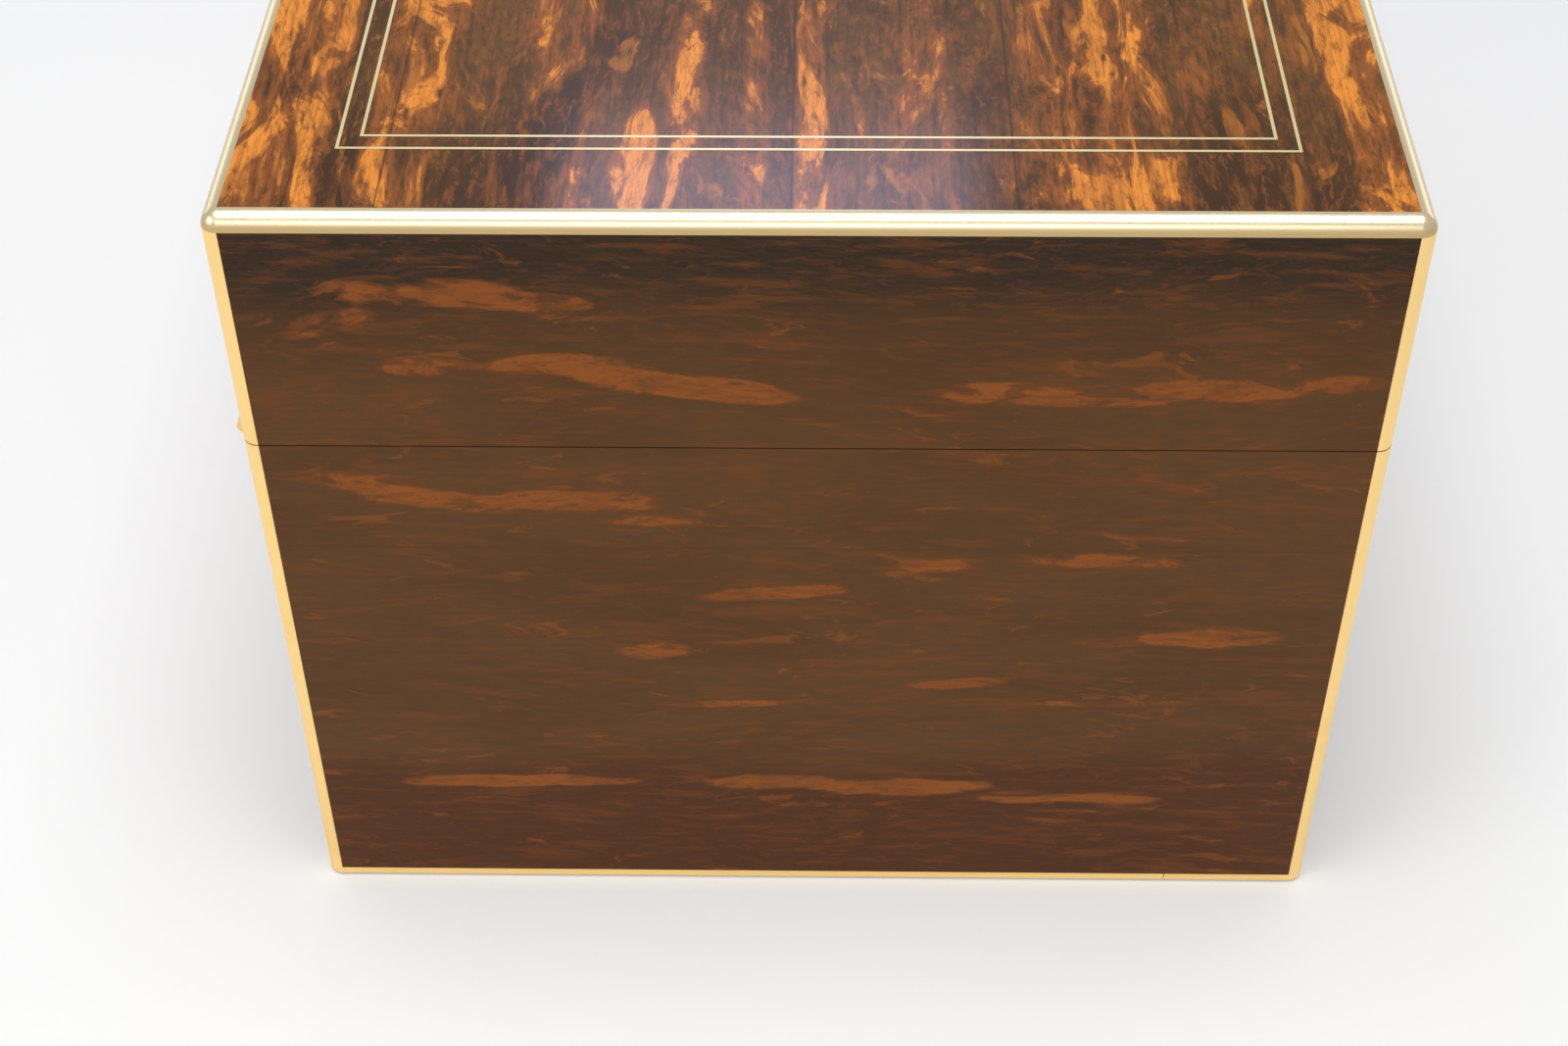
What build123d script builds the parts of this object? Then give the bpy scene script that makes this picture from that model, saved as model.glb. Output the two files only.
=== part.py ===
"""Travelling dressing box: veneered case, hinged lid, lift-out tray and base drawer.

The origin is the centre of the base, on the surface the box stands on.
+X runs along the length, -Y is the front with the lock, +Y the hinged back, +Z up.
All sizes are in millimetres.
"""

import os

from build123d import *

os.makedirs("parts", exist_ok=True)

# Outside of the closed box
length = 340.0
depth = 240.0
height = 199.0
lid_height = 58.0
seam_gap = 0.3

# Walls, skins and edges
board = 8.0
veneer = 1.0
edge_radius = 3.6
pad_thickness = 0.8
pad_inset = 4.0
base_thickness = 7.0
dust_thickness = 5.0
base_strip_height = 2.0
strip_joint_inset = 34.0
strip_joint_gap = 0.2

# Two brass lines let into the lid
string_width = 0.7
string_inset = 23.6
string_spacing = 4.4

# Continuous stop hinge
hinge_end_inset = 6.0
barrel_radius = 2.0
pin_radius = 0.75
pin_clearance = 0.05
barrel_clearance = 0.3
leaf_thickness = 1.0
knuckle_count = 9
knuckle_gap = 0.2
hinge_screw_count = 4

# Heads of the countersunk wood screws; their threads are in the wood
screw_head_radius = 1.6
screw_head_depth = 0.8
screw_head_sides = 16
screw_head_taper = 45.0

# Lock
lock_length = 50.0
lock_drop = 26.0
lock_back_inset = 1.4
lock_sheet = 1.0
selvedge_length = 64.0
selvedge_thickness = 1.2
selvedge_width = 6.8
staple_spacing = 22.0
staple_thickness = 1.6
staple_width = 3.6
staple_drop = 8.0
staple_eye_width = 2.2
staple_eye_height = 4.0
staple_eye_drop = 2.4
staple_clearance = 0.5
bolt_thickness = 1.4
bolt_bar_height = 5.0
bolt_prong_height = 3.0
bolt_throw = 4.0
bolt_clearance = 0.3
bolt_prong_root = 2.0
key_radius = 2.0
key_slot_width = 1.8
key_slot_drop = 4.6
key_drop = 18.7
escutcheon_radius = 7.5
escutcheon_thickness = 0.5

# Drawer in the base
drawer_opening = 42.0
drawer_gap = 0.5
drawer_running_gap = 0.3
drawer_back_room = 22.0
drawer_side_thickness = 6.0
drawer_side_drop = 4.0
drawer_bottom_thickness = 3.0
drawer_lap = 3.0
tail_count = 3
tail_flare = 1.6
drawer_partition_thickness = 3.0
drawer_partition_drop = 2.0
drawer_lining_thickness = 1.2
drawer_middle_width = 101.0

# Locking pin of the drawer
lock_pin_radius = 2.0
lock_pin_clearance = 0.08
lock_pin_inset = 8.0
lock_pin_travel = 8.0
lock_pin_head_radius = 4.0
lock_pin_head_height = 4.0
lock_pin_end_gap = 3.0
lock_pin_reach = 5.0
pin_block_depth = 16.0
pin_block_drop = 5.0
keep_thickness = 2.0
keep_width = 14.0
keep_drop = 12.0
keep_eye_radius = 2.5
keep_below_side = 2.0
ejector_thickness = 0.6
ejector_width = 10.0
ejector_foot = 24.0
ejector_reach = 46.0
ejector_gap = 0.3

# Fittings of the well
partition = 3.0
side_channel = 15.0
well_middle_width = 97.0
well_back_depth = 97.5
lining_thickness = 1.2

# Lift-out tray
tray_gap = 0.5
tray_seat_gap = 0.2
tray_rim_drop = 1.0
tray_height = 34.7
tray_side_thickness = 4.0
tray_bottom_thickness = 3.0
tray_partition_drop = 3.0
tray_left_width = 63.0
tray_right_width = 73.0
tray_back_depth = 75.0
tray_lining_thickness = 1.2
finger_notch_radius = 11.0
finger_notch_inset = 70.0

# Mirror in the lid
lid_pad_thickness = 8.0
soft_gap = 0.3
mirror_length = 240.0
mirror_depth = 170.0
mirror_frame_width = 12.0
mirror_frame_thickness = 6.5
mirror_glass_thickness = 2.0
mirror_glass_rebate = 3.0
mirror_glass_lip = 1.4
batten_gap = 3.0
batten_width = 12.0
button_length = 20.0
button_width = 7.0
button_thickness = 1.6
button_gap = 0.4
button_tail = 5.0
pivot_radius = 1.0
pivot_clearance = 0.05
pivot_head_radius = 2.4
pivot_head_height = 1.1

# Places that follow from the sizes above
wall = board + veneer
half_length = length / 2
half_depth = depth / 2
carcass_x = half_length - veneer
carcass_y = half_depth - veneer
inner_x = half_length - wall
inner_y = half_depth - wall
edge_x = half_length - edge_radius
edge_y = half_depth - edge_radius
body_bottom = pad_thickness
seam_z = height - lid_height
body_top = seam_z - seam_gap
floor_top = body_bottom + base_thickness
opening_top = floor_top + drawer_opening
well_floor = opening_top + dust_thickness
tray_top = body_top - tray_rim_drop
tray_low = tray_top - tray_height
tray_seat = tray_low - tray_seat_gap
lid_ceiling = height - wall
rail_z = height - edge_radius
strip_top = body_bottom + base_strip_height
hinge_half = half_length - hinge_end_inset
hinge_y = half_depth
hinge_z = seam_z - seam_gap / 2
knuckle_pitch = 2 * hinge_half / knuckle_count
body_leaf_bottom = body_top - leaf_thickness
lid_leaf_top = seam_z + leaf_thickness
screw_y = (inner_y + hinge_y - barrel_radius) / 2
screw_pitch = 2 * hinge_half / hinge_screw_count
hinge_screw_places = [
    (-hinge_half + (i + 0.5) * screw_pitch, screw_y) for i in range(hinge_screw_count)
]
over = 1.0
key_height = body_top - key_drop
strip_joint_y = -half_depth + strip_joint_inset
fence_x = inner_x - side_channel - partition
lock_pin_x = inner_x - lock_pin_inset
lock_pin_y = inner_y - lock_pin_inset


def block(x0, x1, y0, y1, z0, z1, mode=Mode.ADD):
    """A square-edged block between two corners."""
    with Locations(((x0 + x1) / 2, (y0 + y1) / 2, (z0 + z1) / 2)):
        Box(x1 - x0, y1 - y0, z1 - z0, mode=mode)


def rounded_block(low, high, round_top=False):
    """The outside of the case or lid, with the rounded edges that the brass makes."""
    block(-half_length, half_length, -half_depth, half_depth, low, high)
    rounded = edges().filter_by(Axis.Z)
    if round_top:
        rounded += edges().group_by(Axis.Z)[-1]
    fillet(rounded, radius=edge_radius)


def keep_corners(low, high):
    """Cut a rounded block back to its four corner strips."""
    block(-edge_x, edge_x, -half_depth, half_depth, low, high, Mode.SUBTRACT)
    block(-half_length, half_length, -edge_y, edge_y, low, high, Mode.SUBTRACT)


def cut_corner_rebates(low, high):
    """Rebates for the brass in the four upright corners."""
    for side_x in (-1, 1):
        for side_y in (-1, 1):
            x0, x1 = sorted((side_x * edge_x, side_x * half_length))
            y0, y1 = sorted((side_y * edge_y, side_y * half_depth))
            block(x0, x1, y0, y1, low, high, Mode.SUBTRACT)


def cut_hinge_rebate(leaf_low, leaf_high):
    """Bed of one hinge leaf, and the groove that the barrel lies in."""
    block(-hinge_half, hinge_half, inner_y, hinge_y + over, leaf_low, leaf_high, Mode.SUBTRACT)
    with Locations(Location((0, hinge_y, hinge_z), (0, 90, 0))):
        Cylinder(
            barrel_radius + barrel_clearance,
            2 * (hinge_half + barrel_clearance),
            mode=Mode.SUBTRACT,
        )


def knuckles(first, radius, stretch, mode=Mode.ADD):
    """Every second knuckle of the hinge barrel, from the given one."""
    for index in range(first, knuckle_count, 2):
        x = -hinge_half + (index + 0.5) * knuckle_pitch
        with Locations(Location((x, hinge_y, hinge_z), (0, 90, 0))):
            Cylinder(radius, knuckle_pitch + stretch, mode=mode)


def countersunk_screws(level, direction, places, mode=Mode.ADD):
    """Countersunk screw heads that lie flush at a level and narrow down (-1) or up (1)."""
    face = Plane((0, 0, level), x_dir=(1, 0, 0), z_dir=(0, 0, direction))
    with BuildSketch(face) as outline:
        with Locations([(x, direction * y) for x, y in places]):
            RegularPolygon(screw_head_radius, screw_head_sides)
    extrude(outline.sketch, amount=screw_head_depth, taper=screw_head_taper, mode=mode)


def keyhole(y0, y1, mode=Mode.SUBTRACT):
    """Keyhole through the front, between two depths."""
    with BuildSketch(Plane((0, y0, key_height), x_dir=(1, 0, 0), z_dir=(0, 1, 0))) as outline:
        Circle(key_radius)
        with Locations((0, key_slot_drop / 2)):
            Rectangle(key_slot_width, key_slot_drop)
    extrude(outline.sketch, amount=y1 - y0, mode=mode)


def lid_line(inset, low, high, mode=Mode.ADD):
    """One rectangular line let into the lid, its outer edge at the inset."""
    x = half_length - inset
    y = half_depth - inset
    with BuildSketch(Plane.XY.offset(low)) as outline:
        Rectangle(2 * x, 2 * y)
        Rectangle(2 * (x - string_width), 2 * (y - string_width), mode=Mode.SUBTRACT)
    extrude(outline.sketch, amount=high - low, mode=mode)


def escutcheon_disc(mode=Mode.ADD):
    """Round brass plate, flush with the front."""
    with Locations(Location((0, -half_depth + escutcheon_thickness / 2, key_height), (90, 0, 0))):
        Cylinder(escutcheon_radius, escutcheon_thickness, mode=mode)


def tails(plane, low, high, reach, mode=Mode.ADD):
    """Dovetails of one drawer corner, drawn on the side's face and cut through its thickness.

    The plane's origin is at the shoulder line, its X points along the tails and its Y up.
    """
    pitch = (high - low) / tail_count
    half_root = pitch / 4
    half_tip = half_root + tail_flare / 2
    with BuildSketch(plane) as outline:
        for index in range(tail_count):
            middle = low + (index + 0.5) * pitch
            with BuildLine():
                Polyline(
                    (0, middle - half_root),
                    (reach, middle - half_tip),
                    (reach, middle + half_tip),
                    (0, middle + half_root),
                    close=True,
                )
            make_face()
    extrude(outline.sketch, amount=drawer_side_thickness, mode=mode)


# Carcass of the body: mahogany boards
with BuildPart() as carcass_end_boards:
    block(-carcass_x, -inner_x, -carcass_y, carcass_y, body_bottom, body_top)
    block(inner_x, carcass_x, -carcass_y, carcass_y, body_bottom, body_top)
    cut_corner_rebates(body_bottom, body_top)
    cut_hinge_rebate(body_leaf_bottom, body_top)
carcass_end_boards.part.label = "carcass_end_boards"
export_step(carcass_end_boards.part, "parts/carcass_end_boards.step")

with BuildPart() as carcass_back_board:
    block(-inner_x, inner_x, inner_y, carcass_y, floor_top, body_top)
    cut_hinge_rebate(body_leaf_bottom, body_top)
carcass_back_board.part.label = "carcass_back_board"
export_step(carcass_back_board.part, "parts/carcass_back_board.step")

# The lock lies in a pocket cut from inside the front board
pocket_y = -inner_y - board + lock_back_inset
selvedge_back = -inner_y
selvedge_front = selvedge_back - selvedge_width
with BuildPart() as carcass_front_board:
    block(-inner_x, inner_x, -carcass_y, -inner_y, opening_top, body_top)
    block(
        -lock_length / 2, lock_length / 2, pocket_y, -inner_y,
        body_top - lock_drop, body_top, Mode.SUBTRACT,
    )
    block(
        -selvedge_length / 2, selvedge_length / 2, selvedge_front, selvedge_back,
        body_top - selvedge_thickness, body_top, Mode.SUBTRACT,
    )
    keyhole(-carcass_y, pocket_y)
carcass_front_board.part.label = "carcass_front_board"
export_step(carcass_front_board.part, "parts/carcass_front_board.step")

with BuildPart() as base_board:
    block(-inner_x, inner_x, -carcass_y, carcass_y, body_bottom, floor_top)
base_board.part.label = "base_board"
export_step(base_board.part, "parts/base_board.step")

with BuildPart() as dust_board:
    block(-inner_x, inner_x, -inner_y, inner_y, opening_top, well_floor)
    with Locations((lock_pin_x, lock_pin_y, (opening_top + well_floor) / 2)):
        Cylinder(lock_pin_radius + lock_pin_clearance, dust_thickness, mode=Mode.SUBTRACT)
dust_board.part.label = "dust_board"
export_step(dust_board.part, "parts/dust_board.step")

# Figured veneer on the four faces of the body
with BuildPart() as body_front_veneer:
    block(-edge_x, edge_x, -half_depth, -carcass_y, strip_top, body_top)
    block(-inner_x, inner_x, -half_depth, -carcass_y, floor_top, opening_top, Mode.SUBTRACT)
    keyhole(-half_depth, -carcass_y)
    escutcheon_disc(Mode.SUBTRACT)
body_front_veneer.part.label = "body_front_veneer"
export_step(body_front_veneer.part, "parts/body_front_veneer.step")

with BuildPart() as body_back_veneer:
    block(-edge_x, edge_x, carcass_y, half_depth, strip_top, body_top)
    cut_hinge_rebate(body_leaf_bottom, body_top)
body_back_veneer.part.label = "body_back_veneer"
export_step(body_back_veneer.part, "parts/body_back_veneer.step")

with BuildPart() as body_end_veneers:
    block(-half_length, -carcass_x, -edge_y, edge_y, strip_top, body_top)
    block(carcass_x, half_length, -edge_y, edge_y, strip_top, body_top)
body_end_veneers.part.label = "body_end_veneers"
export_step(body_end_veneers.part, "parts/body_end_veneers.step")

# Brass edging of the body
with BuildPart() as body_corner_edging:
    rounded_block(body_bottom, body_top)
    keep_corners(body_bottom, body_top)
body_corner_edging.part.label = "body_corner_edging"
export_step(body_corner_edging.part, "parts/body_corner_edging.step")

# The strip of one end is in two lengths that butt together
with BuildPart() as base_edging:
    block(-edge_x, edge_x, -half_depth, -carcass_y, body_bottom, strip_top)
    block(-edge_x, edge_x, carcass_y, half_depth, body_bottom, strip_top)
    block(carcass_x, half_length, -edge_y, edge_y, body_bottom, strip_top)
    block(-half_length, -carcass_x, -edge_y, strip_joint_y, body_bottom, strip_top)
    block(
        -half_length, -carcass_x, strip_joint_y + strip_joint_gap, edge_y,
        body_bottom, strip_top,
    )
base_edging.part.label = "base_edging"
export_step(base_edging.part, "parts/base_edging.step")

with BuildPart() as base_pad:
    block(
        -half_length + pad_inset, half_length - pad_inset,
        -half_depth + pad_inset, half_depth - pad_inset, 0, pad_thickness,
    )
base_pad.part.label = "base_pad"
export_step(base_pad.part, "parts/base_pad.step")

# Hinge: two leaves with interleaved knuckles on one pin
with BuildPart() as hinge_body_leaf:
    block(-hinge_half, hinge_half, inner_y, hinge_y, body_leaf_bottom, body_top)
    knuckles(0, barrel_radius, -knuckle_gap)
    knuckles(1, barrel_radius + barrel_clearance / 2, knuckle_gap, Mode.SUBTRACT)
    with Locations(Location((0, hinge_y, hinge_z), (0, 90, 0))):
        Cylinder(pin_radius + pin_clearance, 2 * hinge_half, mode=Mode.SUBTRACT)
    countersunk_screws(body_top, -1, hinge_screw_places, Mode.SUBTRACT)
hinge_body_leaf.part.label = "hinge_body_leaf"
export_step(hinge_body_leaf.part, "parts/hinge_body_leaf.step")

with BuildPart() as hinge_lid_leaf:
    block(-hinge_half, hinge_half, inner_y, hinge_y, seam_z, lid_leaf_top)
    knuckles(1, barrel_radius, -knuckle_gap)
    knuckles(0, barrel_radius + barrel_clearance / 2, knuckle_gap, Mode.SUBTRACT)
    with Locations(Location((0, hinge_y, hinge_z), (0, 90, 0))):
        Cylinder(pin_radius + pin_clearance, 2 * hinge_half, mode=Mode.SUBTRACT)
    countersunk_screws(seam_z, 1, hinge_screw_places, Mode.SUBTRACT)
hinge_lid_leaf.part.label = "hinge_lid_leaf"
export_step(hinge_lid_leaf.part, "parts/hinge_lid_leaf.step")

with BuildPart() as hinge_pin:
    with Locations(Location((0, hinge_y, hinge_z), (0, 90, 0))):
        Cylinder(pin_radius, 2 * hinge_half)
hinge_pin.part.label = "hinge_pin"
export_step(hinge_pin.part, "parts/hinge_pin.step")

# Box lock: case, rim plate with two slots, and a bolt with two prongs
staple_xs = [side * staple_spacing / 2 for side in (-1, 1)]
staple_y = (pocket_y + lock_sheet + -inner_y - lock_sheet) / 2
lock_screw_x = (lock_length + selvedge_length) / 4
lock_screw_y = (selvedge_front + selvedge_back) / 2
lock_screw_places = [(side * lock_screw_x, lock_screw_y) for side in (-1, 1)]
lock_top = body_top - selvedge_thickness
lock_bottom = body_top - lock_drop
eye_top = seam_z - staple_eye_drop
prong_z = eye_top - staple_eye_height / 2
with BuildPart() as lock_case:
    block(-lock_length / 2, lock_length / 2, pocket_y, -inner_y, lock_bottom, lock_top)
    block(
        -lock_length / 2 + lock_sheet, lock_length / 2 - lock_sheet,
        pocket_y + lock_sheet, -inner_y - lock_sheet,
        lock_bottom + lock_sheet, lock_top, Mode.SUBTRACT,
    )
    keyhole(pocket_y, pocket_y + lock_sheet)
lock_case.part.label = "lock_case"
export_step(lock_case.part, "parts/lock_case.step")

with BuildPart() as lock_rim_plate:
    block(
        -selvedge_length / 2, selvedge_length / 2, selvedge_front, selvedge_back,
        body_top - selvedge_thickness, body_top,
    )
    for x in staple_xs:
        block(
            x - staple_thickness / 2 - staple_clearance, x + staple_thickness / 2 + staple_clearance,
            staple_y - staple_width / 2 - staple_clearance,
            staple_y + staple_width / 2 + staple_clearance,
            body_top - selvedge_thickness, body_top, Mode.SUBTRACT,
        )
    countersunk_screws(body_top, -1, lock_screw_places, Mode.SUBTRACT)
lock_rim_plate.part.label = "lock_rim_plate"
export_step(lock_rim_plate.part, "parts/lock_rim_plate.step")

# Screws of the body's hinge leaf and of the lock's rim plate
with BuildPart() as body_screws:
    countersunk_screws(body_top, -1, hinge_screw_places + lock_screw_places)
body_screws.part.label = "body_screws"
export_step(body_screws.part, "parts/body_screws.step")

# Each prong is long enough that its root stays clear of the staple when it is thrown
bolt_prong_length = bolt_throw + bolt_prong_root + bolt_clearance
prong_low = prong_z - bolt_prong_height / 2
prong_high = prong_z + bolt_prong_height / 2
bar_high = seam_z - staple_drop - 2 * bolt_clearance
bar_low = bar_high - bolt_bar_height
with BuildPart() as lock_bolt:
    bolt_y0 = staple_y - bolt_thickness / 2
    bolt_y1 = staple_y + bolt_thickness / 2
    bar_left = staple_xs[0] - staple_thickness / 2 - bolt_prong_length - bolt_clearance
    bar_right = staple_xs[1]
    block(bar_left, bar_right, bolt_y0, bolt_y1, bar_low, bar_high)
    for x in staple_xs:
        tip = x - staple_thickness / 2 - bolt_clearance
        root = tip - bolt_prong_length
        block(root, root + bolt_prong_root, bolt_y0, bolt_y1, bar_low, prong_high)
        block(root, tip, bolt_y0, bolt_y1, prong_low, prong_high)
lock_bolt.part.label = "lock_bolt"
export_step(lock_bolt.part, "parts/lock_bolt.step")

with BuildPart() as escutcheon:
    escutcheon_disc()
    keyhole(-half_depth, -half_depth + escutcheon_thickness)
escutcheon.part.label = "escutcheon"
export_step(escutcheon.part, "parts/escutcheon.step")

# Fittings of the well: fence, corner block with the pin's bore, partitions and lining
block_low_y = inner_y - pin_block_depth
with BuildPart() as well_fence:
    block(fence_x, fence_x + partition, -inner_y, inner_y, well_floor, tray_top)
well_fence.part.label = "well_fence"
export_step(well_fence.part, "parts/well_fence.step")

with BuildPart() as pin_block:
    block(
        fence_x + partition, inner_x, block_low_y, inner_y, well_floor, body_top - pin_block_drop,
    )
    with Locations((lock_pin_x, lock_pin_y, (well_floor + body_top) / 2)):
        Cylinder(
            lock_pin_radius + lock_pin_clearance, body_top - well_floor, mode=Mode.SUBTRACT,
        )
pin_block.part.label = "pin_block"
export_step(pin_block.part, "parts/pin_block.step")

well_cross_x = (well_middle_width + partition) / 2
well_cross_xs = [-well_cross_x, well_cross_x]
well_long_high = inner_y - well_back_depth
well_long_low = well_long_high - partition
with BuildPart() as well_partitions:
    block(-inner_x, fence_x, well_long_low, well_long_high, well_floor, tray_seat)
    for x in well_cross_xs:
        block(x - partition / 2, x + partition / 2, -inner_y, well_long_low, well_floor, tray_seat)
        block(x - partition / 2, x + partition / 2, well_long_high, inner_y, well_floor, tray_seat)
well_partitions.part.label = "well_partitions"
export_step(well_partitions.part, "parts/well_partitions.step")

# One velvet piece on the floor of each compartment
well_bounds_x = [-inner_x, *well_cross_xs, fence_x]
with BuildPart() as well_lining:
    for index in range(len(well_bounds_x) - 1):
        x0 = well_bounds_x[index] + (partition / 2 if index > 0 else 0)
        last = index == len(well_bounds_x) - 2
        x1 = well_bounds_x[index + 1] - (0 if last else partition / 2)
        block(x0, x1, -inner_y, well_long_low, well_floor, well_floor + lining_thickness)
        block(x0, x1, well_long_high, inner_y, well_floor, well_floor + lining_thickness)
    block(
        fence_x + partition, inner_x, -inner_y, block_low_y,
        well_floor, well_floor + lining_thickness,
    )
well_lining.part.label = "well_lining"
export_step(well_lining.part, "parts/well_lining.step")

# Pin that locks the drawer, shown lifted: it slides down through the block and the keep
pin_tip = opening_top - drawer_side_drop - keep_below_side + lock_pin_end_gap
pin_block_top = body_top - pin_block_drop
pin_shank_top = pin_block_top + lock_pin_travel
with BuildPart() as drawer_pin:
    with Locations((lock_pin_x, lock_pin_y, (pin_tip + pin_shank_top) / 2)):
        Cylinder(lock_pin_radius, pin_shank_top - pin_tip)
    with Locations((lock_pin_x, lock_pin_y, pin_shank_top + lock_pin_head_height / 2)):
        Cylinder(lock_pin_head_radius, lock_pin_head_height)
    chamfer(edges().group_by(Axis.Z)[-1], length=lock_pin_head_height / 4)
drawer_pin.part.label = "drawer_pin"
export_step(drawer_pin.part, "parts/drawer_pin.step")

# Lid: boards, veneer, two brass lines and edging
with BuildPart() as lid_top_board:
    block(-carcass_x, carcass_x, -carcass_y, carcass_y, lid_ceiling, height - veneer)
    cut_corner_rebates(lid_ceiling, height)
    for side in (-1, 1):
        x0, x1 = sorted((side * edge_x, side * half_length))
        block(x0, x1, -half_depth, half_depth, rail_z, height, Mode.SUBTRACT)
        y0, y1 = sorted((side * edge_y, side * half_depth))
        block(-half_length, half_length, y0, y1, rail_z, height, Mode.SUBTRACT)
lid_top_board.part.label = "lid_top_board"
export_step(lid_top_board.part, "parts/lid_top_board.step")

with BuildPart() as lid_end_boards:
    block(-carcass_x, -inner_x, -carcass_y, carcass_y, seam_z, lid_ceiling)
    block(inner_x, carcass_x, -carcass_y, carcass_y, seam_z, lid_ceiling)
    cut_corner_rebates(seam_z, lid_ceiling)
    cut_hinge_rebate(seam_z, lid_leaf_top)
lid_end_boards.part.label = "lid_end_boards"
export_step(lid_end_boards.part, "parts/lid_end_boards.step")

with BuildPart() as lid_back_board:
    block(-inner_x, inner_x, inner_y, carcass_y, seam_z, lid_ceiling)
    cut_hinge_rebate(seam_z, lid_leaf_top)
lid_back_board.part.label = "lid_back_board"
export_step(lid_back_board.part, "parts/lid_back_board.step")

with BuildPart() as lid_front_board:
    block(-inner_x, inner_x, -carcass_y, -inner_y, seam_z, lid_ceiling)
    block(
        -selvedge_length / 2, selvedge_length / 2, selvedge_front, selvedge_back,
        seam_z, seam_z + selvedge_thickness, Mode.SUBTRACT,
    )
lid_front_board.part.label = "lid_front_board"
export_step(lid_front_board.part, "parts/lid_front_board.step")

with BuildPart() as link_plate:
    block(
        -selvedge_length / 2, selvedge_length / 2, selvedge_front, selvedge_back,
        seam_z, seam_z + selvedge_thickness,
    )
    for x in staple_xs:
        block(
            x - staple_thickness / 2, x + staple_thickness / 2,
            staple_y - staple_width / 2, staple_y + staple_width / 2,
            seam_z - staple_drop, seam_z,
        )
        block(
            x - staple_thickness / 2, x + staple_thickness / 2,
            staple_y - staple_eye_width / 2, staple_y + staple_eye_width / 2,
            eye_top - staple_eye_height, eye_top, Mode.SUBTRACT,
        )
    countersunk_screws(seam_z, 1, lock_screw_places, Mode.SUBTRACT)
link_plate.part.label = "link_plate"
export_step(link_plate.part, "parts/link_plate.step")

# Screws of the lid's hinge leaf and of the link plate
with BuildPart() as lid_screws:
    countersunk_screws(seam_z, 1, hinge_screw_places + lock_screw_places)
lid_screws.part.label = "lid_screws"
export_step(lid_screws.part, "parts/lid_screws.step")

inner_inset = string_inset + string_spacing
veneer_low = height - veneer
with BuildPart() as lid_top_veneer:
    block(-edge_x, edge_x, -edge_y, edge_y, veneer_low, height)
    lid_line(string_inset, veneer_low, height, Mode.SUBTRACT)
    lid_line(inner_inset, veneer_low, height, Mode.SUBTRACT)
lid_top_veneer.part.label = "lid_top_veneer"
export_step(lid_top_veneer.part, "parts/lid_top_veneer.step")

with BuildPart() as lid_outer_line:
    lid_line(string_inset, veneer_low, height)
lid_outer_line.part.label = "lid_outer_line"
export_step(lid_outer_line.part, "parts/lid_outer_line.step")

with BuildPart() as lid_inner_line:
    lid_line(inner_inset, veneer_low, height)
lid_inner_line.part.label = "lid_inner_line"
export_step(lid_inner_line.part, "parts/lid_inner_line.step")

with BuildPart() as lid_front_veneer:
    block(-edge_x, edge_x, -half_depth, -carcass_y, seam_z, rail_z)
lid_front_veneer.part.label = "lid_front_veneer"
export_step(lid_front_veneer.part, "parts/lid_front_veneer.step")

with BuildPart() as lid_back_veneer:
    block(-edge_x, edge_x, carcass_y, half_depth, seam_z, rail_z)
    cut_hinge_rebate(seam_z, lid_leaf_top)
lid_back_veneer.part.label = "lid_back_veneer"
export_step(lid_back_veneer.part, "parts/lid_back_veneer.step")

with BuildPart() as lid_end_veneers:
    block(-half_length, -carcass_x, -edge_y, edge_y, seam_z, rail_z)
    block(carcass_x, half_length, -edge_y, edge_y, seam_z, rail_z)
lid_end_veneers.part.label = "lid_end_veneers"
export_step(lid_end_veneers.part, "parts/lid_end_veneers.step")

with BuildPart() as lid_corner_edging:
    rounded_block(seam_z, rail_z)
    keep_corners(seam_z, rail_z)
lid_corner_edging.part.label = "lid_corner_edging"
export_step(lid_corner_edging.part, "parts/lid_corner_edging.step")

# The long rails run through and turn the corners as balls
with BuildPart() as lid_long_rails:
    rounded_block(seam_z, height, round_top=True)
    block(-half_length, half_length, -half_depth, half_depth, seam_z, rail_z, Mode.SUBTRACT)
    block(-half_length, half_length, -edge_y, edge_y, rail_z, height, Mode.SUBTRACT)
lid_long_rails.part.label = "lid_long_rails"
export_step(lid_long_rails.part, "parts/lid_long_rails.step")

with BuildPart() as lid_end_rails:
    rounded_block(seam_z, height, round_top=True)
    block(-half_length, half_length, -half_depth, half_depth, seam_z, rail_z, Mode.SUBTRACT)
    block(-edge_x, edge_x, -half_depth, half_depth, rail_z, height, Mode.SUBTRACT)
    block(-half_length, half_length, edge_y, half_depth, rail_z, height, Mode.SUBTRACT)
    block(-half_length, half_length, -half_depth, -edge_y, rail_z, height, Mode.SUBTRACT)
lid_end_rails.part.label = "lid_end_rails"
export_step(lid_end_rails.part, "parts/lid_end_rails.step")

# Padded lining of the lid, battens and the mirror they hold
pad_low = lid_ceiling - lid_pad_thickness
batten_in = mirror_length / 2 + batten_gap
batten_out = batten_in + batten_width
frame_top = pad_low - soft_gap
frame_low = frame_top - mirror_frame_thickness
with BuildPart() as lid_lining_pad:
    block(
        -batten_in + soft_gap, batten_in - soft_gap, -inner_y + soft_gap, inner_y - soft_gap,
        pad_low, lid_ceiling,
    )
    for side in (-1, 1):
        x0, x1 = sorted((side * (batten_out + soft_gap), side * (inner_x - soft_gap)))
        block(x0, x1, -inner_y + soft_gap, inner_y - soft_gap, pad_low, lid_ceiling)
lid_lining_pad.part.label = "lid_lining_pad"
export_step(lid_lining_pad.part, "parts/lid_lining_pad.step")

pivot_x = (batten_in + batten_out) / 2
with BuildPart() as lid_battens:
    for side in (-1, 1):
        x0, x1 = sorted((side * batten_in, side * batten_out))
        block(x0, x1, -inner_y, inner_y, frame_low, lid_ceiling)
lid_battens.part.label = "lid_battens"
export_step(lid_battens.part, "parts/lid_battens.step")

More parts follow.
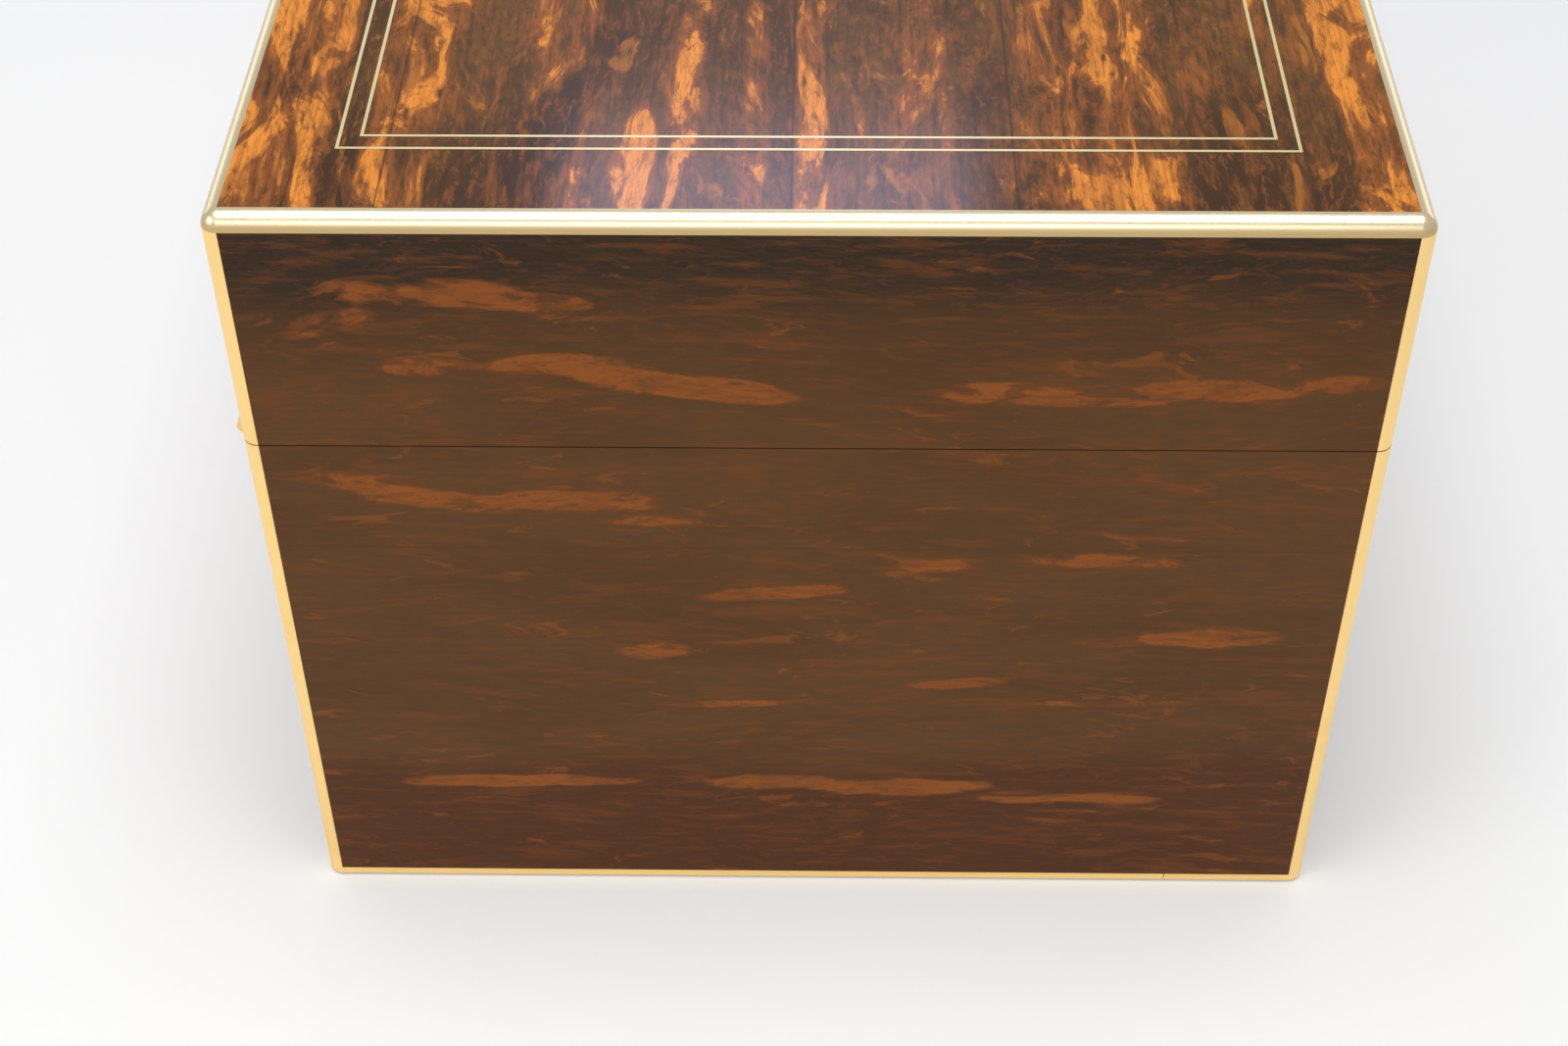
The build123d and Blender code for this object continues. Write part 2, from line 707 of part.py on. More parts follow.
glass_low = frame_low + mirror_glass_lip
glass_top = glass_low + mirror_glass_thickness
sight_x = mirror_length / 2 - mirror_frame_width
sight_y = mirror_depth / 2 - mirror_frame_width
with BuildPart() as mirror_frame:
    block(
        -mirror_length / 2, mirror_length / 2, -mirror_depth / 2, mirror_depth / 2,
        frame_low, frame_top,
    )
    block(-sight_x, sight_x, -sight_y, sight_y, frame_low, glass_low, Mode.SUBTRACT)
    block(
        -sight_x - mirror_glass_rebate, sight_x + mirror_glass_rebate,
        -sight_y - mirror_glass_rebate, sight_y + mirror_glass_rebate,
        glass_low, glass_top, Mode.SUBTRACT,
    )
    chamfer(faces().sort_by(Axis.Z)[0].edges(), length=mirror_glass_lip / 2)
mirror_frame.part.label = "mirror_frame"
export_step(mirror_frame.part, "parts/mirror_frame.step")

with BuildPart() as mirror_glass:
    block(
        -sight_x - mirror_glass_rebate, sight_x + mirror_glass_rebate,
        -sight_y - mirror_glass_rebate, sight_y + mirror_glass_rebate,
        glass_low, glass_top,
    )
mirror_glass.part.label = "mirror_glass"
export_step(mirror_glass.part, "parts/mirror_glass.step")

# Turn buttons that hold the mirror, each on its pivot screw
button_top = frame_low - button_gap
button_low = button_top - button_thickness
pivot_head_low = button_low - pivot_clearance - pivot_head_height
with BuildPart() as button_pivots:
    for side in (-1, 1):
        with Locations((side * pivot_x, 0, (pivot_head_low + frame_low) / 2)):
            Cylinder(pivot_radius, frame_low - pivot_head_low)
        with Locations((side * pivot_x, 0, pivot_head_low + pivot_head_height / 2)):
            Cylinder(pivot_head_radius, pivot_head_height)
button_pivots.part.label = "button_pivots"
export_step(button_pivots.part, "parts/button_pivots.step")


def turn_button(side):
    """Flat brass button with round ends, longer towards the mirror than away from it."""
    reach = button_length - button_tail - button_width / 2
    middle = side * (pivot_x - reach / 2)
    with BuildSketch(Plane.XY.offset(button_low)) as outline:
        with Locations((middle, 0)):
            SlotCenterToCenter(reach, button_width)
        with Locations((side * pivot_x, 0)):
            Circle(pivot_radius + pivot_clearance, mode=Mode.SUBTRACT)
    extrude(outline.sketch, amount=button_thickness)


with BuildPart() as left_turn_button:
    turn_button(-1)
left_turn_button.part.label = "left_turn_button"
export_step(left_turn_button.part, "parts/left_turn_button.step")

with BuildPart() as right_turn_button:
    turn_button(1)
right_turn_button.part.label = "right_turn_button"
export_step(right_turn_button.part, "parts/right_turn_button.step")

# Lift-out tray on top of the well partitions
tray_x0 = -inner_x + tray_gap
tray_x1 = fence_x - tray_gap
tray_y = inner_y - tray_gap
tray_in_x0 = tray_x0 + tray_side_thickness
tray_in_x1 = tray_x1 - tray_side_thickness
tray_in_y = tray_y - tray_side_thickness
tray_floor = tray_low + tray_bottom_thickness
with BuildPart() as tray_sides:
    block(tray_x0, tray_x1, -tray_y, -tray_in_y, tray_low, tray_top)
    block(tray_x0, tray_x1, tray_in_y, tray_y, tray_low, tray_top)
tray_sides.part.label = "tray_sides"
export_step(tray_sides.part, "parts/tray_sides.step")

with BuildPart() as tray_ends:
    block(tray_x0, tray_in_x0, -tray_in_y, tray_in_y, tray_low, tray_top)
    block(tray_in_x1, tray_x1, -tray_in_y, tray_in_y, tray_low, tray_top)
tray_ends.part.label = "tray_ends"
export_step(tray_ends.part, "parts/tray_ends.step")

with BuildPart() as tray_bottom:
    block(tray_in_x0, tray_in_x1, -tray_in_y, tray_in_y, tray_low, tray_floor)
tray_bottom.part.label = "tray_bottom"
export_step(tray_bottom.part, "parts/tray_bottom.step")

tray_partition_top = tray_top - tray_partition_drop
half_partition = partition / 2
tray_first_x = tray_in_x0 + tray_left_width + half_partition
tray_second_x = tray_in_x1 - tray_right_width - half_partition
tray_long_high = tray_in_y - tray_back_depth
tray_long_low = tray_long_high - partition
finger_notch_y = -tray_in_y + finger_notch_inset
with BuildPart() as tray_partitions:
    for x in (tray_first_x, tray_second_x):
        block(
            x - half_partition, x + half_partition, -tray_in_y, tray_in_y,
            tray_floor, tray_partition_top,
        )
    block(
        tray_first_x + half_partition, tray_second_x - half_partition,
        tray_long_low, tray_long_high, tray_floor, tray_partition_top,
    )
    for x in (tray_first_x, tray_second_x):
        with Locations(Location((x, finger_notch_y, tray_partition_top), (0, 90, 0))):
            Cylinder(finger_notch_radius, 2 * partition, mode=Mode.SUBTRACT)
tray_partitions.part.label = "tray_partitions"
export_step(tray_partitions.part, "parts/tray_partitions.step")

tray_lining_top = tray_floor + tray_lining_thickness
with BuildPart() as tray_lining:
    block(
        tray_in_x0, tray_first_x - half_partition, -tray_in_y, tray_in_y,
        tray_floor, tray_lining_top,
    )
    block(
        tray_second_x + half_partition, tray_in_x1, -tray_in_y, tray_in_y,
        tray_floor, tray_lining_top,
    )
    for y0, y1 in ((-tray_in_y, tray_long_low), (tray_long_high, tray_in_y)):
        block(
            tray_first_x + half_partition, tray_second_x - half_partition, y0, y1,
            tray_floor, tray_lining_top,
        )
tray_lining.part.label = "tray_lining"
export_step(tray_lining.part, "parts/tray_lining.step")

# Drawer in the base: dovetailed sides and back, lapped front
front_low = floor_top + drawer_gap
front_high = opening_top - drawer_gap
drawer_x = inner_x - drawer_gap
side_low = floor_top + drawer_running_gap
side_high = opening_top - drawer_side_drop
side_in_x = drawer_x - drawer_side_thickness
shoulder_y = -inner_y
drawer_back_y = inner_y - drawer_back_room
back_in_y = drawer_back_y - drawer_side_thickness
tail_reach = board - drawer_lap
bottom_top = side_low + drawer_bottom_thickness


def tail_plane(x, y, towards):
    """Plane for one drawer corner: X along the tails, Y up, its normal along X or -X."""
    return Plane((x, y, 0), x_dir=(0, towards, 0), z_dir=(towards, 0, 0))


def corner_tails(mode):
    """The tails of all four drawer corners."""
    tails(tail_plane(drawer_x, shoulder_y, -1), side_low, side_high, tail_reach, mode)
    tails(tail_plane(-side_in_x, shoulder_y, -1), side_low, side_high, tail_reach, mode)
    tails(tail_plane(side_in_x, back_in_y, 1), side_low, side_high, drawer_side_thickness, mode)
    tails(tail_plane(-drawer_x, back_in_y, 1), side_low, side_high, drawer_side_thickness, mode)


with BuildPart() as drawer_front:
    block(-drawer_x, drawer_x, -carcass_y, shoulder_y, front_low, front_high)
    corner_tails(Mode.SUBTRACT)
drawer_front.part.label = "drawer_front"
export_step(drawer_front.part, "parts/drawer_front.step")

with BuildPart() as drawer_front_veneer:
    block(-drawer_x, drawer_x, -half_depth, -carcass_y, front_low, front_high)
drawer_front_veneer.part.label = "drawer_front_veneer"
export_step(drawer_front_veneer.part, "parts/drawer_front_veneer.step")

with BuildPart() as drawer_sides:
    block(-drawer_x, -side_in_x, shoulder_y, back_in_y, side_low, side_high)
    block(side_in_x, drawer_x, shoulder_y, back_in_y, side_low, side_high)
    corner_tails(Mode.ADD)
drawer_sides.part.label = "drawer_sides"
export_step(drawer_sides.part, "parts/drawer_sides.step")

with BuildPart() as drawer_back:
    block(-drawer_x, drawer_x, back_in_y, drawer_back_y, side_low, side_high)
    corner_tails(Mode.SUBTRACT)
drawer_back.part.label = "drawer_back"
export_step(drawer_back.part, "parts/drawer_back.step")

with BuildPart() as drawer_bottom:
    block(-side_in_x, side_in_x, shoulder_y, back_in_y, side_low, bottom_top)
drawer_bottom.part.label = "drawer_bottom"
export_step(drawer_bottom.part, "parts/drawer_bottom.step")

drawer_partition_top = side_high - drawer_partition_drop
half_drawer_partition = drawer_partition_thickness / 2
drawer_cross_x = drawer_middle_width / 2 + half_drawer_partition
drawer_cross_xs = [-drawer_cross_x, drawer_cross_x]
with BuildPart() as drawer_partitions:
    for x in drawer_cross_xs:
        block(
            x - half_drawer_partition, x + half_drawer_partition, shoulder_y, back_in_y,
            bottom_top, drawer_partition_top,
        )
drawer_partitions.part.label = "drawer_partitions"
export_step(drawer_partitions.part, "parts/drawer_partitions.step")

with BuildPart() as drawer_lining:
    x0 = -side_in_x
    for x in (*drawer_cross_xs, side_in_x + half_drawer_partition):
        block(
            x0, x - half_drawer_partition, shoulder_y, back_in_y,
            bottom_top, bottom_top + drawer_lining_thickness,
        )
        x0 = x + half_drawer_partition
drawer_lining.part.label = "drawer_lining"
export_step(drawer_lining.part, "parts/drawer_lining.step")

# Brass keep behind the drawer that the locking pin drops through
keep_top = side_high - keep_below_side
with BuildPart() as drawer_keep:
    keep_x0 = lock_pin_x - keep_width / 2
    keep_x1 = lock_pin_x + keep_width / 2
    block(
        keep_x0, keep_x1, drawer_back_y, drawer_back_y + keep_thickness,
        keep_top - keep_drop, keep_top,
    )
    block(
        keep_x0, keep_x1, drawer_back_y, lock_pin_y + keep_width / 2,
        keep_top - keep_thickness, keep_top,
    )
    with Locations((lock_pin_x, lock_pin_y, keep_top - keep_thickness / 2)):
        Cylinder(keep_eye_radius, keep_thickness, mode=Mode.SUBTRACT)
drawer_keep.part.label = "drawer_keep"
export_step(drawer_keep.part, "parts/drawer_keep.step")

# Bent steel strip behind the drawer that pushes it out
with BuildPart() as ejector_spring:
    spring_low = (side_low + side_high - ejector_width) / 2
    tip_y = drawer_back_y + ejector_gap
    with BuildSketch(Plane.XY.offset(spring_low)):
        with BuildLine():
            Polyline(
                (-ejector_foot, inner_y),
                (0, inner_y),
                (ejector_reach, tip_y + ejector_thickness),
                (ejector_reach + ejector_foot / 2, tip_y + ejector_thickness),
                (ejector_reach + ejector_foot / 2, tip_y),
                (ejector_reach, tip_y),
                (0, inner_y - ejector_thickness),
                (-ejector_foot, inner_y - ejector_thickness),
                close=True,
            )
        make_face()
    extrude(amount=ejector_width)
ejector_spring.part.label = "ejector_spring"
export_step(ejector_spring.part, "parts/ejector_spring.step")
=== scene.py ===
"""Looks of a travelling dressing box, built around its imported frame.

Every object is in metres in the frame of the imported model: +X along the length, -Y to the
front with the lock, +Y to the hinged back and +Z up. The end at -X is the one that faces
the camera.
"""

from __future__ import annotations

import logging
import math
from collections.abc import Callable, Sequence
from dataclasses import dataclass, field, replace
from enum import Enum

import bmesh
import bpy
from mathutils import Matrix, Vector


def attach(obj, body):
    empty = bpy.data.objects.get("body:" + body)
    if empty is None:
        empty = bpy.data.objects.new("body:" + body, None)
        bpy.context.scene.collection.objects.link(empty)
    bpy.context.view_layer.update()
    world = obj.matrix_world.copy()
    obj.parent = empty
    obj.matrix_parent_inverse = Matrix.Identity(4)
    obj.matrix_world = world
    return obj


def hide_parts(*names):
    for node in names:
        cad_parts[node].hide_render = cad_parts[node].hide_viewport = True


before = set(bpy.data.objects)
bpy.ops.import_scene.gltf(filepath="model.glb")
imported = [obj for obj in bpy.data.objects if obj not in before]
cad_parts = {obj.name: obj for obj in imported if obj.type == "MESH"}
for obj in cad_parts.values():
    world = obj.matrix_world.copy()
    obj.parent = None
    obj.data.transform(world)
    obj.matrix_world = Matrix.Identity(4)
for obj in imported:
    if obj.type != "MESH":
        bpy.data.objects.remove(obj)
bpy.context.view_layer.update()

log = logging.getLogger("dressing_box")

Colour = tuple[float, float, float]
Box = tuple[Vector, Vector]
MM = 0.001


class Axis(Enum):
    """An axis of the frame."""

    X = 0
    Y = 1
    Z = 2


class Value:
    """A number that varies over a surface, held as an output socket.

    Python operators on values add the Math nodes that work them out.
    """

    def __init__(self, graph: Nodes, socket: bpy.types.NodeSocket) -> None:
        """Keep the graph and the socket that the number comes from.

        Args:
            graph: The graph that the socket belongs to.
            socket: The output socket that gives the number.
        """
        self.graph = graph
        self.socket = socket

    def _math(self, operation: str, first: Operand, second: Operand = 0.0) -> Value:
        """Add one Math node.

        Args:
            operation: The name of the operation.
            first: Its first operand.
            second: Its second operand, where it has one.

        Returns:
            The result.
        """
        node = self.graph.add("ShaderNodeMath", {"operation": operation}, {0: first, 1: second})
        return Value(self.graph, node.outputs[0])

    def __add__(self, other: Operand) -> Value:
        """Sum of two values."""
        return self._math("ADD", self, other)

    def __radd__(self, other: Operand) -> Value:
        """Sum with a plain number on the left."""
        return self._math("ADD", other, self)

    def __sub__(self, other: Operand) -> Value:
        """Difference of two values."""
        return self._math("SUBTRACT", self, other)

    def __rsub__(self, other: Operand) -> Value:
        """Difference from a plain number on the left."""
        return self._math("SUBTRACT", other, self)

    def __mul__(self, other: Operand) -> Value:
        """Product of two values."""
        return self._math("MULTIPLY", self, other)

    def __rmul__(self, other: Operand) -> Value:
        """Product with a plain number on the left."""
        return self._math("MULTIPLY", other, self)

    def __truediv__(self, other: Operand) -> Value:
        """Quotient of two values."""
        return self._math("DIVIDE", self, other)

    def __abs__(self) -> Value:
        """Size of a value without its sign."""
        return self._math("ABSOLUTE", self)

    def at_most(self, other: Operand) -> Value:
        """The smaller of two values."""
        return self._math("MINIMUM", self, other)

    def at_least(self, other: Operand) -> Value:
        """The larger of two values."""
        return self._math("MAXIMUM", self, other)

    def rise(self, low: float, high: float) -> Value:
        """Smooth step from 0 to 1.

        Args:
            low: Where the step starts; it may be above high for a falling step.
            high: Where the step ends.

        Returns:
            The step.
        """
        start, end, flip = (low, high, False) if low < high else (high, low, True)
        node = self.graph.add(
            "ShaderNodeMapRange",
            {"interpolation_type": "SMOOTHSTEP"},
            {"Value": self, "From Min": start, "From Max": end},
        )
        step = Value(self.graph, node.outputs["Result"])
        return 1 - step if flip else step


Operand = Value | float
Link = Value | bpy.types.NodeSocket | float | Sequence[float]


class Nodes:
    """Nodes of one tree."""

    def __init__(self, tree: bpy.types.NodeTree) -> None:
        """Start with an empty tree.

        Args:
            tree: The tree of a material or a world.
        """
        self.tree = tree
        self.tree.nodes.clear()

    def add(
        self,
        kind: str,
        settings: dict[str, object] | None = None,
        inputs: dict[str | int, Link] | None = None,
    ) -> bpy.types.Node:
        """Add one node.

        Args:
            kind: The node's type.
            settings: Its properties, which are set before its sockets.
            inputs: The values or links of its sockets.

        Returns:
            The node.
        """
        node = self.tree.nodes.new(kind)
        for key, value in (settings or {}).items():
            setattr(node, key, value)
        for key, value in (inputs or {}).items():
            self.feed(node.inputs[key], value)
        return node

    def feed(self, socket: bpy.types.NodeSocket, value: Link) -> None:
        """Give a socket its value or link.

        Args:
            socket: The input socket.
            value: A value, an output socket, a number or a list of numbers.
        """
        if isinstance(value, Value):
            self.tree.links.new(value.socket, socket)
        elif isinstance(value, bpy.types.NodeSocket):
            self.tree.links.new(value, socket)
        elif isinstance(value, (int, float)) or len(value) == len(socket.default_value):
            socket.default_value = value
        else:
            socket.default_value = (*value, 1.0)

    def looked_at(self) -> Value:
        """Tell what the camera sees, also by mirror or through glass, from other light.

        Returns:
            1 for what it sees and 0 for the rest.
        """
        path = self.add("ShaderNodeLightPath")
        straight, mirrored, through = (
            Value(self, path.outputs[kind])
            for kind in ("Is Camera Ray", "Is Glossy Ray", "Is Transmission Ray")
        )
        return (straight + mirrored + through).at_most(1.0)

    def blended(self, share: Operand, first: bpy.types.Node, second: bpy.types.Node) -> Link:
        """Blend two shaders."""
        shaders = {0: share, 1: first.outputs[0], 2: second.outputs[0]}
        return self.add("ShaderNodeMixShader", None, shaders).outputs[0]


class Graph(Nodes):
    """Node graph of one material, with a Principled shader at its end."""

    def __init__(self, name: str) -> None:
        """Make the material and its shader.

        Args:
            name: Name of the material.
        """
        self.material = bpy.data.materials.new(name)
        self.material.use_nodes = True
        super().__init__(self.material.node_tree)
        self.shader = self.add("ShaderNodeBsdfPrincipled")
        self.output = self.add(
            "ShaderNodeOutputMaterial", None, {"Surface": self.shader.outputs[0]}
        )

    def place(self) -> bpy.types.NodeSocket:
        """Position on the object in the frame, in metres."""
        return self.add("ShaderNodeTexCoord").outputs["Object"]

    def parts(self, vector: bpy.types.NodeSocket) -> tuple[Value, Value, Value]:
        """The three components of a vector."""
        node = self.add("ShaderNodeSeparateXYZ", None, {0: vector})
        return tuple(Value(self, out) for out in node.outputs)

    def evenly(self, value: Value) -> bpy.types.NodeSocket:
        """A vector with the same value on each axis."""
        return self.add("ShaderNodeCombineXYZ", None, {0: value, 1: value, 2: value}).outputs[0]

    def stretched(
        self, vector: bpy.types.NodeSocket, by: Sequence[float]
    ) -> bpy.types.NodeSocket:
        """A vector multiplied by a factor for each axis."""
        node = self.add("ShaderNodeVectorMath", {"operation": "MULTIPLY"}, {0: vector, 1: by})
        return node.outputs[0]

    def moved(self, vector: bpy.types.NodeSocket, by: Link) -> bpy.types.NodeSocket:
        """A vector with another one added."""
        node = self.add("ShaderNodeVectorMath", {"operation": "ADD"}, {0: vector, 1: by})
        return node.outputs[0]

    def noise(
        self,
        vector: bpy.types.NodeSocket,
        scale: float,
        detail: float = 3.0,
        roughness: float = 0.55,
        distortion: float = 0.0,
    ) -> Value:
        """Cloudy noise from 0 to 1.

        Args:
            vector: Where it is read.
            scale: Clouds per metre.
            detail: Number of finer layers.
            roughness: Weight of the finer layers.
            distortion: How far the clouds curl.

        Returns:
            The noise.
        """
        node = self.add(
            "ShaderNodeTexNoise",
            None,
            {
                "Vector": vector, "Scale": scale, "Detail": detail,
                "Roughness": roughness, "Distortion": distortion,
            },
        )
        return Value(self, node.outputs["Fac"])

    def cells(self, vector: bpy.types.NodeSocket, scale: float) -> Value:
        """Distance to the nearest of many scattered points.

        Args:
            vector: Where it is read.
            scale: Points per metre.

        Returns:
            The distance, in cells.
        """
        node = self.add("ShaderNodeTexVoronoi", None, {"Vector": vector, "Scale": scale})
        return Value(self, node.outputs["Distance"])

    def mixed(self, factor: Operand, first: Link, second: Link, blend: str = "MIX") -> Link:
        """Mix two colours.

        Args:
            factor: Share of the second one.
            first: The colour at 0.
            second: The colour at 1.
            blend: How they mix.

        Returns:
            The colour's socket.
        """
        settings = {"data_type": "RGBA", "blend_type": blend}
        node = self.add("ShaderNodeMix", settings, {0: factor, 6: first, 7: second})
        return node.outputs[2]

    def bump(self, height: Value, depth: float, strength: float = 1.0) -> None:
        """Let a height shape the shader's normal.

        Args:
            height: The height, from 0 to 1.
            depth: What a height of 1 stands for, in metres.
            strength: How much of it shows.
        """
        node = self.add(
            "ShaderNodeBump", None, {"Strength": strength, "Distance": depth, "Height": height}
        )
        self.feed(self.shader.inputs["Normal"], node.outputs[0])

    def finish(self, **inputs: Link) -> bpy.types.Material:
        """Set the shader's sockets, named with _ for a space.

        Args:
            **inputs: Value or link of each socket.

        Returns:
            The material.
        """
        for key, value in inputs.items():
            self.feed(self.shader.inputs[key.replace("_", " ")], value)
        return self.material


def drawn_out(along: Axis, length: float) -> list[float]:
    """Factors that draw a texture out along the grain.

    Args:
        along: The axis of the grain.
        length: How many times as long the texture gets.

    Returns:
        The factor for each axis.
    """
    by = [1.0, 1.0, 1.0]
    by[along.value] = 1 / length
    return by


@dataclass(frozen=True)
class Patch:
    """A warm patch in the figure of a veneer, placed one by one.

    All but the warmth are in millimetres on the face: along runs with the grain.
    """

    along: float
    across: float
    length: float
    width: float
    rise: float = 0.0
    warmth: float = 1.0

    def mask(self, along: Value, across: Value) -> Value:
        """How warm the patch makes a place, from 0 to its warmth.

        Args:
            along: Position along the grain, in metres.
            across: Position across the grain, in metres.

        Returns:
            The warmth.
        """
        run = (along - self.along * MM) / (self.length * MM)
        off = (across - self.across * MM) / (self.width * MM)
        if self.rise:
            off = off - run * (self.rise / self.width)
        return (run * run + off * off).rise(1.6, 0.3) * self.warmth


@dataclass(frozen=True)
class Tone:
    """A slow change of ground colour across the grain.

    It starts at one height in metres and reaches its full share at another.
    """

    start: float
    full: float
    colour: Colour
    share: float


@dataclass(frozen=True)
class FiguredVeneer:
    """Dark polished veneer with amber and red figure, its grain along one axis.

    The figure comes from one field of clouds: red where it passes the level, amber a little
    above it. Warm patches lift the field by the heat, and the rest cools by a share of it.
    """

    name: str
    along: Axis
    across: Axis
    ground: Colour = (0.125, 0.056, 0.017)
    shade: Colour = (0.045, 0.021, 0.009)
    red: Colour = (0.29, 0.090, 0.020)
    amber: Colour = (0.69, 0.240, 0.036)
    figure: float = 108.0
    stretch: float = 3.0
    level: float = 0.575
    edge: float = 0.04
    heat: float = 0.14
    cooling: float = 0.5
    grain: float = 0.4
    wisp_share: float = 0.4
    speckle: float = 0.45
    fleck_share: float = 0.3
    sway_scale: float = 24.0
    sway_reach: float = 20 * MM
    mottle_scale: float = 560.0
    fibre_scale: float = 900.0
    pore_scale: float = 620.0
    patches: tuple[Patch, ...] = ()
    tones: tuple[Tone, ...] = ()
    joints: tuple[float, ...] = ()
    crack: float | None = None
    offset: float = 0.0
    specular: float = 0.04
    coat: float = 0.16
    coat_roughness: float = 0.14
    roughness: float = 0.26

    def build(self) -> bpy.types.Material:
        """Make the material.

        Returns:
            The material.
        """
        g = Graph(self.name)
        place = g.place()
        drawn = g.stretched(place, drawn_out(self.along, self.stretch))
        flow = g.moved(drawn, (self.offset, self.offset, self.offset))
        shift = (g.noise(flow, self.sway_scale, 3.0) - 0.5) * self.sway_reach
        sway = g.evenly(shift)
        bent = g.moved(flow, sway)
        islands = g.noise(bent, self.figure, 6.0, 0.60, 0.9)
        large = g.noise(bent, self.figure * 0.3, 3.0)
        field = islands * 0.62 + large * 0.38 + self._heat(g, place, shift)
        red = field.rise(self.level - 0.09, self.level + 0.01)
        amber = field.rise(self.level, self.level + self.edge)
        long_wisps = g.stretched(bent, drawn_out(self.along, 2.0))
        wisps = g.noise(long_wisps, self.figure * 1.9, 5.0, 0.65)
        base = self._ground(g, place, large)
        mottle = g.noise(g.moved(drawn, sway), self.mottle_scale, 5.0, 0.7, 0.5)
        base = g.mixed(wisps.rise(0.50, 0.66) * self.wisp_share, base, self.red)
        base = g.mixed(mottle.rise(0.50, 0.64) * self.speckle, base, self.red)
        base = g.mixed(mottle.rise(0.50, 0.36) * self.speckle, base, self.shade)
        base = g.mixed(red * (mottle.rise(0.36, 0.56) * 0.45 + 0.4), base, self.red)
        whole = wisps.rise(0.36, 0.56) * 0.5 + mottle.rise(0.34, 0.52) * 0.5
        base = g.mixed(amber * whole, base, self.amber)
        flecks = g.noise(g.moved(bent, (3.0, 5.0, 7.0)), self.figure * 1.2, 5.0, 0.6, 0.7)
        base = g.mixed(flecks.rise(0.60, 0.68) * self.fleck_share, base, self.amber)
        threads = g.stretched(place, drawn_out(self.along, 24.0))
        fibre = g.noise(threads, self.fibre_scale, 4.0, 0.6)
        colour = g.mixed(self._dark(g, place, bent, fibre, red), base, self.shade)
        worn = g.noise(place, 14.0, 3.0)
        g.bump(fibre * 0.5 + worn * 0.5, 0.05 * MM, 0.3)
        return g.finish(
            Base_Color=colour,
            Roughness=worn * 0.12 + self.roughness,
            Coat_Weight=self.coat,
            Coat_Roughness=self.coat_roughness,
            Specular_IOR_Level=self.specular,
        )

    def _heat(self, g: Graph, place: bpy.types.NodeSocket, shift: Value) -> Operand:
        """Sum the warm patches, their edges bent by the sway of the grain.

        Args:
            g: The material's graph.
            place: Position on the object.
            shift: Sway of the grain, in metres.

        Returns:
            How much the patches lift the figure.
        """
        parts = g.parts(place)
        along = parts[self.along.value] + shift * 0.6
        across = parts[self.across.value] + shift * 0.35
        total: Operand = -self.heat * self.cooling if self.patches else 0.0
        for patch in self.patches:
            total = patch.mask(along, across) * self.heat + total
        return total

    def _ground(self, g: Graph, place: bpy.types.NodeSocket, large: Value) -> Link:
        """Ground colour with its slow changes.

        Args:
            g: The material's graph.
            place: Position on the object.
            large: Large clouds of the figure.

        Returns:
            The colour.
        """
        base = g.mixed(large.rise(0.32, 0.60), self.shade, self.ground)
        across = g.parts(place)[self.across.value]
        drift = (g.noise(place, 16.0, 2.0) - 0.5) * 0.016
        for tone in self.tones:
            share = (across + drift).rise(tone.start, tone.full) * tone.share
            base = g.mixed(share, base, tone.colour)
        return base

    def _dark(
        self,
        g: Graph,
        place: bpy.types.NodeSocket,
        bent: bpy.types.NodeSocket,
        fibre: Value,
        red: Value,
    ) -> Value:
        """Dark lines, pores, eyes, joints and cracks.

        Args:
            g: The material's graph.
            place: Position on the object.
            bent: Position drawn out along the grain and bent by its sway.
            fibre: Fine threads of the grain.
            red: Share of the red figure, which the eyes and veins lie in.

        Returns:
            Their share of the colour.
        """
        short_lines = g.stretched(place, drawn_out(self.along, 6.0))
        pores = g.cells(short_lines, self.pore_scale).rise(0.26, 0.08)
        eyes = g.cells(bent, self.figure * 1.9).rise(0.24, 0.04)
        vein = abs(g.noise(bent, self.figure * 1.7, 4.0, 0.6, 0.5) - 0.5).rise(0.028, 0.004)
        broken = (eyes * 0.6 + vein * 0.22) * red
        dark = fibre.rise(0.56, 0.30) * self.grain + pores * 0.35 + broken
        dark = dark.at_most(0.85)
        across = g.parts(place)[self.across.value]
        for joint in self.joints:
            dark = dark.at_least(abs(across - joint).rise(0.4 * MM, 0.1 * MM) * 0.7)
        if self.crack is not None:
            threads = g.stretched(place, drawn_out(self.along, 24.0))
            wander = (g.noise(threads, 260.0, 2.0) - 0.5) * (1.2 * MM)
            line = abs(across - self.crack + wander).rise(0.35 * MM, 0.1 * MM)
            dark = dark.at_least(line * 0.55)
        return dark


@dataclass(frozen=True)
class StraightWood:
    """Plain straight-grained wood of the carcass and fittings."""

    name: str
    light: Colour
    dark: Colour
    along: Axis = Axis.X
    roughness: float = 0.42

    def build(self) -> bpy.types.Material:
        """Make the material.

        Returns:
            The material.
        """
        g = Graph(self.name)
        place = g.place()
        flow = g.stretched(place, drawn_out(self.along, 18.0))
        bands = g.noise(flow, 150.0, 4.0, 0.6, 0.3)
        fibre = g.noise(flow, 900.0, 3.0)
        slow = g.noise(place, 9.0, 2.0)
        colour = g.mixed((bands * 0.7 + slow * 0.3).rise(0.35, 0.65), self.dark, self.light)
        colour = g.mixed(fibre.rise(0.52, 0.30) * 0.5, colour, self.dark)
        g.bump(fibre * 0.6 + bands * 0.4, 0.15 * MM, 0.4)
        return g.finish(Base_Color=colour, Roughness=slow * 0.15 + self.roughness)


